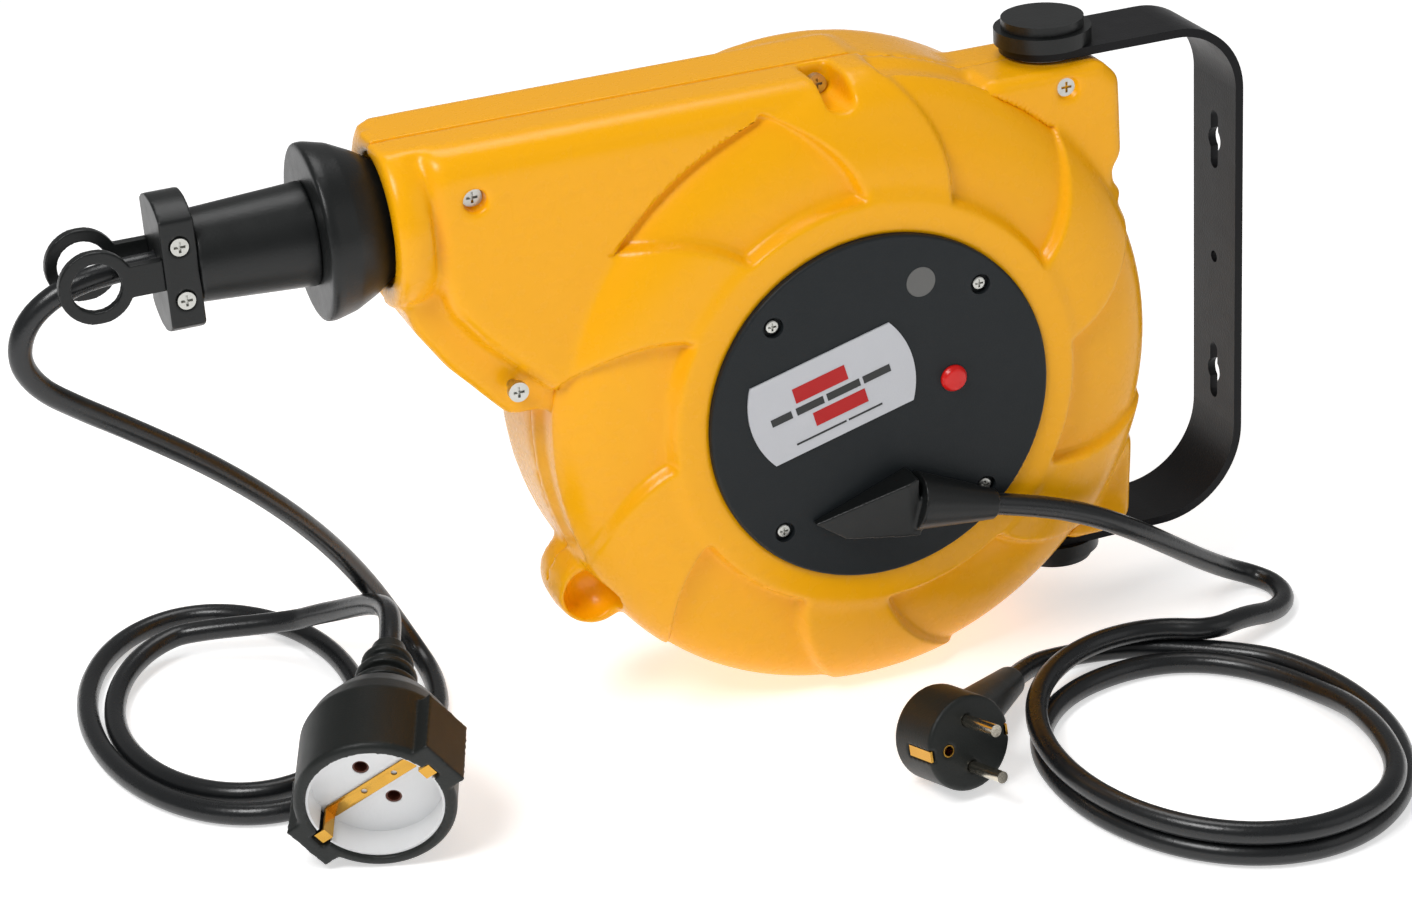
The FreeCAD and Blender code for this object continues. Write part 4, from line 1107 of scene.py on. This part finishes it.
    def cutters(self, side: int) -> list[bpy.types.Object]:
        """The room inside, the mouth, the screw wells, the crown channel and the lug's scoop.

        Args:
            side: 1 for the rear, -1 for the front.

        Returns:
            The cutters for that half.
        """
        mouth = [(0.0, -0.020), (0.0285, -0.020), (0.0255, 0.0), (0.0250, 0.034), (0.0, 0.034)]
        tools = [spun("mouth", mouth, at(-self.neck_end, 0, self.cable_high), TO_WALL, 64)]
        deep = 0.0305 if side < 0 else 0.0425
        room = filleted([(0.0, -0.004), (0.1165, -0.004), (0.1165, deep), (0.0, deep)], [0, 0, 0.018, 0], 6)
        tools.append(spun("room", room, at(0, 0, 0), Vector((0, side, 0)), 96))
        if side > 0:
            return tools
        seat = [
            (0.0, 0.028), (0.054, 0.028), (0.054, 0.0434), (0.0724, 0.0434), (0.0724, 0.052), (0.0, 0.052),
        ]
        tools.append(spun("seat", seat, at(0, 0, 0), FRONT, 120))
        channel = filleted(
            [(-0.0125, 0.150), (-0.0105, 0.1195), (0.0005, 0.1195), (0.0025, 0.150)], [0, 0.004, 0.004, 0], 4
        )
        tools.append(self.tool("channel", channel, -0.060, -0.0035))
        well = [(0.0, -0.05), (0.0050, -0.05), (0.0046, 0.0), (0.0, 0.0)]
        for x, y, z in ((-0.1515, -0.0195, 0.111), (-0.1415, -0.0215, 0.031), (0.0948, -0.0215, 0.108)):
            tools.append(spun("well", well, at(x, y, z), BACK, 32))
        angle = math.radians(self.lug_angle)
        scoop = [(0.0115 * math.sin(a), -0.014 * math.cos(a)) for a in np.linspace(0, math.pi, 17)]
        start = at(0.1345 * math.cos(angle), -0.0165, 0.1345 * math.sin(angle))
        tools.append(spun("scoop", scoop, start, BACK, 40))
        return tools

    def guide(self) -> None:
        """The rollers' frame, drawn in to clear the neck's rounded corners."""
        piece = softened("guide_moulding", "guide_frame", 0.0009, 2)
        middle_z = CENTRE.z + self.cable_high
        draw_in = Matrix.Diagonal((1, self.guide_pull, self.guide_pull, 1))
        there, back = Matrix.Translation((0, 0, middle_z)), Matrix.Translation((0, 0, -middle_z))
        moved(piece, there @ draw_in @ back)
        settle(NYLON.dress(piece), "housing", frame_slot("guide_frame"), "guide_frame")

    def make(self) -> None:
        """Builds, dresses and places both halves."""
        front = self.half(-1)
        settle(YELLOW.dress(front), "housing", "yellow_shell", "front_shell")
        self.guide()
        rear = self.half(1)
        settle(YELLOW.dress(rear), "housing", "yellow_shell", "rear_shell")
        log.info("case: %d and %d faces", len(front.data.polygons), len(rear.data.polygons))


# ------------------------------------------------------------------ cover and label


@dataclass
class CoverFace:
    """The black cover's fittings: button, label, blank plug and lead gland.

    Attributes:
        face: where the cover's front face is along y.
        plate_turn: how far the label leans, in degrees.
        plate_middle: the label's middle from the axle.
        plate_proud: how far the label stands out.
    """

    face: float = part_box("front_cover")[0][1]
    plate_turn: float = 14.5
    plate_middle: Flat = (-0.021, 0.011)
    plate_proud: float = 0.0008

    def on_plate(self, name: str, low: Flat, high: Flat, finish: Finish, slot: str) -> bpy.types.Object:
        """A thin printed patch on the plate.

        Args:
            name: the patch's name.
            low: its lower left corner, in the plate's own directions.
            high: its upper right corner.
            finish: its finish.
            slot: its material slot.

        Returns:
            The patch, settled on the case.
        """
        outline = [low, (high[0], low[1]), high, (low[0], high[1])]
        piece = slab(name, outline, -self.plate_proud - 0.00018, -self.plate_proud + 0.0001)
        turn = Matrix.Rotation(math.radians(-self.plate_turn), 4, "Y")
        across, up = self.plate_middle
        place = Matrix.Translation(Vector((CENTRE.x + across, self.face, CENTRE.z + up)))
        moved(piece, place @ turn)
        bevelled(piece, 0.00006, 1)
        return settle(finish.dress(piece), "housing", slot)

    def print_on_plate(self) -> None:
        """Two red bars with plain dark rules between and below them, and no lettering."""
        bars = (
            ("plate_bar_top", (-0.0150, 0.0035), (0.0080, 0.0100)),
            ("plate_bar_low", (-0.0100, -0.0095), (0.0130, -0.0035)),
        )
        for name, low, high in bars:
            self.on_plate(name, low, high, MARK_RED, "plate_foil")
        middle_row = (-0.0270, -0.0180), (-0.0160, -0.0040), (-0.0025, 0.0120), (0.0135, 0.0255)
        low_row = (-0.0200, 0.0020), (0.0030, 0.0180)
        rows = ("rule", -0.0016, 0.0016, middle_row), ("line", -0.0136, -0.0128, low_row)
        rules = []
        for name, low, high, dashes in rows:
            for place, (start, end) in enumerate(dashes):
                corners = (start, low), (end, high)
                rules.append(self.on_plate(f"{name}_{place}", *corners, MARK_BLACK, "plate_foil"))
        settle(joined("plate_rules", rules), "housing", "plate_foil")

    def button(self) -> None:
        """The red reset button with a soft dome."""
        low, high = (Vector(v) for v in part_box("reset_button"))
        radius = (high.x - low.x) / 2
        stem, cap, deep = 0.002, 0.0065, high.y - low.y
        profile = filleted(
            [
                (0.0, 0.0), (radius - 0.0012, 0.0006), (radius, 0.0022), (radius, cap), (stem, cap),
                (stem, deep), (0.0, deep),
            ],
            [0, 0.0012, 0.0010, 0, 0, 0, 0],
        )
        spot = Vector(((low.x + high.x) / 2, low.y, (low.z + high.z) / 2))
        piece = spun("reset_button_cap", profile, spot, BACK, 48)
        settle(RED.dress(piece), "button", "red_button", "reset_button")

    def gland(self) -> None:
        """The lead's ramp, box and tapered relief, with moulded edges."""
        piece = softened("gland_moulding", "lead_gland", 0.00055, 5)
        settle(BLACK_FITTING.dress(piece), "housing", frame_slot("lead_gland"), "lead_gland")

    def screws(self) -> None:
        """Four small pan heads with a cross recess, deep in their wells."""
        low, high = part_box("cover_screws")
        reach = (high[0] - low[0]) / 2 - 0.004
        heads = []
        profile = filleted(
            [(0.0, 0.0), (0.0029, 0.0), (0.0029, 0.0018), (0.0016, 0.0018), (0.0016, 0.007), (0.0, 0.007)],
            [0, 0.0011, 0, 0, 0, 0],
            4,
        )
        for x in (-reach, reach):
            for z in (-reach, reach):
                spot = Vector((CENTRE.x + x, low[1] + 0.0009, CENTRE.z + z))
                head = spun("head", profile, spot, BACK, 32)
                for wide, tall in ((0.0004, 0.0017), (0.0017, 0.0004)):
                    corners = rectangle(wide, tall, spot.x, spot.z)
                    carved(head, slab("cross", corners, spot.y - 0.001, spot.y + 0.0011))
                smooth(head, 30)
                heads.append(head)
        piece = ZINC.dress(joined("cover_pan_heads", heads))
        settle(piece, "housing", frame_slot("cover_screws"), "cover_screws")

    def make(self) -> None:
        """Builds everything on the cover's face."""
        self.screws()
        BLACK_COVER.dress_node("front_cover", "thermal_cutout", "gland_clamp", "brush_block")
        PLATE.dress_node("name_plate")
        GREY.dress_node("inspection_plug")
        self.print_on_plate()
        self.button()
        self.gland()
        log.info("cover: label, button, gland")


# ------------------------------------------------------------------ cable stop


@dataclass
class CableStop:
    """The stop on the cable: dome, sleeve, collar and two ring ears.

    Attributes:
        mouldings: each CAD node with its skin's face size.
    """

    mouldings: tuple[tuple[str, float], ...] = (
        ("stop_dome", 0.0009), ("stop_sleeve", 0.0007), ("stop_collar", 0.0006), ("stop_ears", 0.0005),
    )

    def make(self) -> None:
        """Rounds off the mouldings and dresses them."""
        for node, voxel in self.mouldings:
            piece = softened(f"{node}_moulding", node, voxel, 4)
            settle(BLACK_FITTING.dress(piece), "cable_end", frame_slot(node), node)
        ZINC.dress_node("collar_screws")
        log.info("cable stop: %d mouldings", len(self.mouldings))


# ------------------------------------------------------------------ coupling and plug


@dataclass
class Coupling:
    """The rubber coupling on the outlet cord.

    Attributes:
        face: the middle of the socket's mouth, from the drum's centre.
        back: where the cord end points.
        roll: the turn about its own axis, in degrees.
        recess: the socket's inner radius.
        floor: how deep the insert's face lies.
        wall: the white cup's wall.
    """

    face: Point = (-0.228, -0.0805, -0.1005)
    back: Point = (0.352, 0.914, 0.201)
    roll: float = 53.0
    recess: float = 0.0265
    floor: float = 0.014
    wall: float = 0.0011

    def spot(self) -> Matrix:
        """Takes a piece drawn along +Y from the socket's mouth to the coupling.

        Returns:
            The move.
        """
        turn = turned_to(Vector(self.back).normalized(), math.radians(self.roll))
        return Matrix.Translation(at(*self.face)) @ turn

    def ribs(self) -> list[bpy.types.Object]:
        """The stepped rings on the cord end.

        Returns:
            The rings, in place.
        """
        rings = []
        for row in range(3):
            start = 0.0620 + row * 0.0090
            radius = 0.0143 - row * 0.0019
            corners = [(0.0, 0.0), (radius, 0.0), (radius, 0.0036), (0.0, 0.0036)]
            profile = filleted(corners, [0, 0.0008, 0.0008, 0], 3)
            rings.append(moved(spun("ring", profile, Vector((0, start, 0)), BACK, 48), self.spot()))
        return rings

    def lining(self) -> None:
        """The white cup's wall inside the recess, open at the two notches."""
        outer, inner = self.recess - 0.0002, self.recess - self.wall
        edge = 0.0016
        profile = [(inner, edge), (outer, edge), (outer, self.floor), (inner, self.floor), (inner, edge)]
        piece = spun("socket_lining", profile, Vector((0, 0, 0)), BACK, 96)
        tool = slab("notch", rectangle(0.0037, 0.04), -0.002, 0.020)
        moved(carved(piece, tool), self.spot())
        smooth(piece)
        settle(WHITE.dress(piece), "cable_end", "white_insert")

    def earth_strip(self) -> None:
        """The brass strip over the insert, with two small holes."""
        outline = filleted(rectangle(0.0029, 0.0236), [0.0003] * 4, 2, closed=True)
        strip = slab("socket_strip", outline, self.floor - 0.0009, self.floor - 0.0002)
        for z in (-0.0065, 0.0085):
            profile = [(0.0, 0.010), (0.0012, 0.010), (0.0012, 0.018), (0.0, 0.018)]
            carved(strip, spun("hole", profile, Vector((0, 0, z)), BACK, 20))
        bevelled(moved(strip, self.spot()), 0.00012, 2)
        settle(BRASS.dress(strip), "cable_end", frame_slot("coupling_earth_clips"))

    def make(self) -> None:
        """Builds and dresses the coupling."""
        body = softened("coupling_moulding", "coupling_body", 0.0007, 4, tuple(self.ribs()))
        settle(MOULDED_RUBBER.dress(body), "cable_end", frame_slot("coupling_body"), "coupling_body")
        self.lining()
        self.earth_strip()
        WHITE.dress_node("coupling_insert")
        BRASS.dress_node("coupling_earth_clips")
        CONTACT.dress_node("coupling_contacts")
        log.info("coupling: moulding, lining, strip")


@dataclass
class Plug:
    """The moulded plug on the mains lead."""

    def make(self) -> None:
        """Rounds off the moulding and dresses its metal."""
        body = softened("plug_moulding", "plug_body", 0.0006, 4)
        settle(MOULDED_RUBBER.dress(body), "housing", frame_slot("plug_body"), "plug_body")
        NICKEL.dress_node("plug_pins")
        BRASS.dress_node("plug_earth_clips")
        log.info("plug: moulding and pins")


# ------------------------------------------------------------------ cords


@dataclass
class Cords:
    """The outlet cord and the mains lead, each on one smooth line.

    Attributes:
        diameter: both cords' thickness.
        low: the height of a cord's middle on the floor, from the axle.
        step: degrees between the points of a turn.
        outlet: the outlet cord's route from the collar to its loops, in millimetres.
        to_coupling: its route from the loops to the coupling.
        lead: the mains lead's route from the gland to its turns.
        to_plug: its route from the turns to the plug.
        outlet_piece: the outlet cord, once made.
        lead_piece: the mains lead, once made.
    """

    diameter: float = 0.009
    low: float = -0.1265
    step: int = 15
    outlet: tuple[Point, ...] = (
        (-267, 0, 100), (-286, 0, 100), (-304, 0, 96), (-317, 1, 86.5), (-322, 3, 72), (-316, 6, 58),
        (-303, 10, 46), (-280, 18, 27), (-252, 29, 2), (-226, 42, -26), (-204, 56, -55),
        (-187, 69, -83), (-176, 76, -105),
        (-169, 73, -120), (-166, 60, -126.5), (-168, 42, -126.5), (-173, 24, -126.5), (-184, 8, -126.5),
        (-200, -3, -126.5),
    )
    to_coupling: tuple[Point, ...] = (
        (-211, 109, -116), (-203, 95, -108), (-196, 80, -100.5), (-191, 65, -92.5), (-188, 50, -85.5),
        (-187, 35, -80.5), (-189.6, 19.1, -78.6), (-195.6, 3.6, -82),
    )
    lead: tuple[Point, ...] = (
        (43.7, -54, -49.1), (61, -54, -53.9), (84, -53, -63), (108, -50, -77.5), (130, -43, -94),
        (148, -35.5, -108), (164, -28.5, -119.5), (176, -28, -125.5), (182, -39, -126.5),
        (179, -53, -126.5), (167, -63.5, -124.8),
        (149, -70.5, -119), (130, -77, -117.5),
    )
    to_plug: tuple[Point, ...] = (
        (108, -62.5, -126.5), (91, -57, -126.5), (73, -54, -126.5), (54.5, -59, -123.6), (41, -71, -121.5),
    )
    outlet_piece: bpy.types.Object | None = None
    lead_piece: bpy.types.Object | None = None

    def route(self, points: tuple[Point, ...]) -> list[Vector]:
        """Route points in the frame.

        Args:
            points: millimetres from the drum's centre.

        Returns:
            The points in metres.
        """
        return [at(x / 1000, y / 1000, z / 1000) for x, y, z in points]

    def outlet_turns(self) -> list[Vector]:
        """The outlet cord's loose loops, each smaller than the last.

        Returns:
            Their points in the frame.
        """
        turns = []
        for angle in range(-57, -640, -self.step):
            t = (-angle - 42) / 588
            across, along = 0.062 - 0.017 * t, 0.100 - 0.036 * t
            middle_x, middle_y = -0.249 - 0.001 * t, 0.073 - 0.008 * t
            turn = math.radians(angle)
            lift = 0.0065 * float(eased(np.array(-angle), 540, 640))
            x, y = middle_x + across * math.cos(turn), middle_y + along * math.sin(turn)
            turns.append(at(x, y, self.low + lift))
        return turns

    def lead_turns(self) -> list[Vector]:
        """The mains lead's two turns, the first lying on the second.

        Returns:
            Their points in the frame.
        """
        turns = []
        for angle in range(74, 772, self.step):
            drawn_in = 0.16 * float(eased(np.array(angle), 300, 345) - eased(np.array(angle), 450, 530))
            down = self.diameter * float(eased(np.array(angle), 330, 385))
            turn = math.radians(angle)
            reach = 1 - drawn_in
            x, y = 0.0945 + 0.068 * reach * math.cos(turn), -0.146 + 0.083 * reach * math.sin(turn)
            turns.append(at(x, y, self.low + self.diameter - down))
        return turns

    def curve(self, name: str, points: list[Vector]) -> bpy.types.Object:
        """A round cord along control points.

        Args:
            name: the piece's name.
            points: the control points.

        Returns:
            The curve object.
        """
        data = bpy.data.curves.new(name, "CURVE")
        data.dimensions = "3D"
        data.bevel_depth = self.diameter / 2
        data.bevel_resolution = 5
        data.resolution_u = 8
        data.use_fill_caps = True
        line = data.splines.new("NURBS")
        line.points.add(len(points) - 1)
        for point, spot in zip(line.points, points):
            point.co = (*spot, 1.0)
        line.order_u = 3
        line.use_endpoint_u = True
        piece = bpy.data.objects.new(name, data)
        bpy.context.scene.collection.objects.link(piece)
        data.materials.append(CORD_SHEATH.build())
        return piece

    def length(self, piece: bpy.types.Object) -> float:
        """The length of a cord's line.

        Args:
            piece: the cord.

        Returns:
            The length in metres.
        """
        thin = piece.copy()
        thin.data = piece.data.copy()
        thin.data.bevel_depth = 0.0
        mesh = bpy.data.meshes.new_from_object(thin)
        spots = [v.co for v in mesh.vertices]
        total = sum((b - a).length for a, b in zip(spots, spots[1:]))
        bpy.data.meshes.remove(mesh)
        bpy.data.objects.remove(thin)
        return total

    def make(self) -> None:
        points = self.route(self.outlet) + self.outlet_turns() + self.route(self.to_coupling)
        outlet = self.curve("outlet_cable", points)
        settle(outlet, "cable_end", "cord_rubber", "outlet_cord", "outlet_coil")
        points = self.route(self.lead) + self.lead_turns() + self.route(self.to_plug)
        lead = self.curve("mains_cable", points)
        settle(lead, "housing", "cord_rubber", "mains_lead", "mains_coil")
        log.info("cords: outlet %.3f m, mains %.3f m", self.length(outlet), self.length(lead))
        self.outlet_piece, self.lead_piece = outlet, lead

    def declare(self) -> None:
        """Works out each cord's line length again, and keeps neither."""
        self.length(self.outlet_piece)
        self.length(self.lead_piece)


# ------------------------------------------------------------------ studio


@dataclass
class Studio:
    """The floor, the lights and the camera.

    Attributes:
        spot: where the camera stands.
        yaw: the way it looks, in degrees.
        pitch: how far it looks down.
        roll: how far it leans.
        lens: its focal length in millimetres.
        floor_glow: how far the paper lights itself.
        air: the strength of the light from all round.
        aim: where the lamps point.
        lamps: each lamp's name, place, power and size.
    """

    spot: Point = (-0.6512, -1.1638, 0.5477)
    yaw: float = -19.7
    pitch: float = 25.3
    roll: float = -3.9
    lens: float = 86.69
    floor_glow: float = 0.55
    air: float = 0.27
    aim: Point = (-0.22, 0.0, -0.02)
    lamps: tuple[tuple[str, Point, float, float], ...] = (
        ("key_light", (-1.0, -0.55, 1.15), 11.5, 0.5),
        ("fill_light", (0.9, -1.2, 0.8), 2.2, 1.2),
        ("top_light", (-0.1, 0.5, 1.5), 7.5, 0.8),
    )

    def camera(self) -> None:
        """The camera, at its viewing angle."""
        yaw, pitch, roll = (math.radians(a) for a in (self.yaw, self.pitch, self.roll))
        back = Vector((math.sin(yaw) * math.cos(pitch), -math.cos(yaw) * math.cos(pitch), math.sin(pitch)))
        right = Vector((math.cos(yaw), math.sin(yaw), 0))
        up = back.cross(right)
        side = right * math.cos(roll) + up * math.sin(roll)
        top = up * math.cos(roll) - right * math.sin(roll)
        data = bpy.data.cameras.new("studio_camera")
        data.lens = self.lens
        data.sensor_width = 36.0
        data.clip_start = 0.01
        camera = bpy.data.objects.new("studio_camera", data)
        bpy.context.scene.collection.objects.link(camera)
        turn = Matrix((side, top, back)).transposed().to_4x4()
        camera.matrix_world = Matrix.Translation(Vector(self.spot)) @ turn
        bpy.context.scene.camera = camera

    def lamp(self, name: str, spot: Point, power: float, size: float) -> None:
        """A square soft light aimed at the reel.

        Args:
            name: the lamp's name.
            spot: where it hangs.
            power: its strength in watts.
            size: the length of its side.
        """
        data = bpy.data.lights.new(name, "AREA")
        data.energy = power
        data.size = size
        lamp = bpy.data.objects.new(name, data)
        bpy.context.scene.collection.objects.link(lamp)
        look = Vector(self.aim) - Vector(spot)
        turn = look.to_track_quat("-Z", "Y").to_matrix().to_4x4()
        lamp.matrix_world = Matrix.Translation(Vector(spot)) @ turn

    def floor(self) -> None:
        """A plain pale floor."""
        bpy.ops.object.select_all(action="DESELECT")
        bpy.ops.mesh.primitive_plane_add(size=14.0, location=(0, 0, 0))
        piece = bpy.context.object
        piece.name = "studio_floor"
        moved(piece, Matrix.Translation((0, 0, FLOOR - 0.0004)))
        finish = Finish("studio_paper", (0.93, 0.93, 0.93), (0.91, 0.91, 0.91), 0.75, depth=0.00001)
        finish.dress(piece)
        shader = piece.data.materials[0].node_tree.nodes["Principled BSDF"]
        shader.inputs["Emission Color"].default_value = (1.0, 1.0, 1.0, 1)
        shader.inputs["Emission Strength"].default_value = self.floor_glow

    def make(self) -> None:
        """Sets up the studio."""
        self.camera()
        self.floor()
        world = bpy.data.worlds.new("studio_air")
        bpy.context.scene.world = world
        world.use_nodes = True
        background = world.node_tree.nodes["Background"]
        background.inputs["Color"].default_value = (1.0, 1.0, 1.0, 1)
        background.inputs["Strength"].default_value = self.air
        for lamp in self.lamps:
            self.lamp(*lamp)
        bpy.context.scene.view_settings.view_transform = "Standard"
        log.info("studio: camera, floor, %d lights", len(self.lamps))


# ------------------------------------------------------------------ carried-over nodes


def dress_nodes() -> None:
    """Gives every CAD node the finish of its material slot."""
    by_slot = {
        "black_strap": STRAP_COAT,
        "black_cap": BLACK_FITTING,
        "yellow_shell": YELLOW,
        "black_cover": BLACK_COVER,
        "screw_steel": ZINC,
        "nylon": NYLON,
        "plate_foil": PLATE,
        "red_button": RED,
        "grey_plug": GREY,
        "cord_rubber": CORD_SHEATH,
        "moulded_rubber": MOULDED_RUBBER,
        "plain_steel": STEEL,
        "spring_steel": STEEL,
        "brass": BRASS,
        "nickel_pin": NICKEL,
        "phenolic": PHENOLIC,
        "drum_plastic": DRUM,
        "white_insert": WHITE,
    }
    for node in frame["nodes"]:
        by_slot[frame_slot(node)].dress_node(node)


def main() -> None:
    """Builds the reel and its studio."""
    logging.basicConfig(level=logging.INFO, format="%(message)s")
    Studio().make()
    cords = Cords()
    cords.make()
    dress_nodes()
    Case().make()
    CoverFace().make()
    CableStop().make()
    Coupling().make()
    Plug().make()
    cords.declare()


if __name__ == "__main__":
    main()
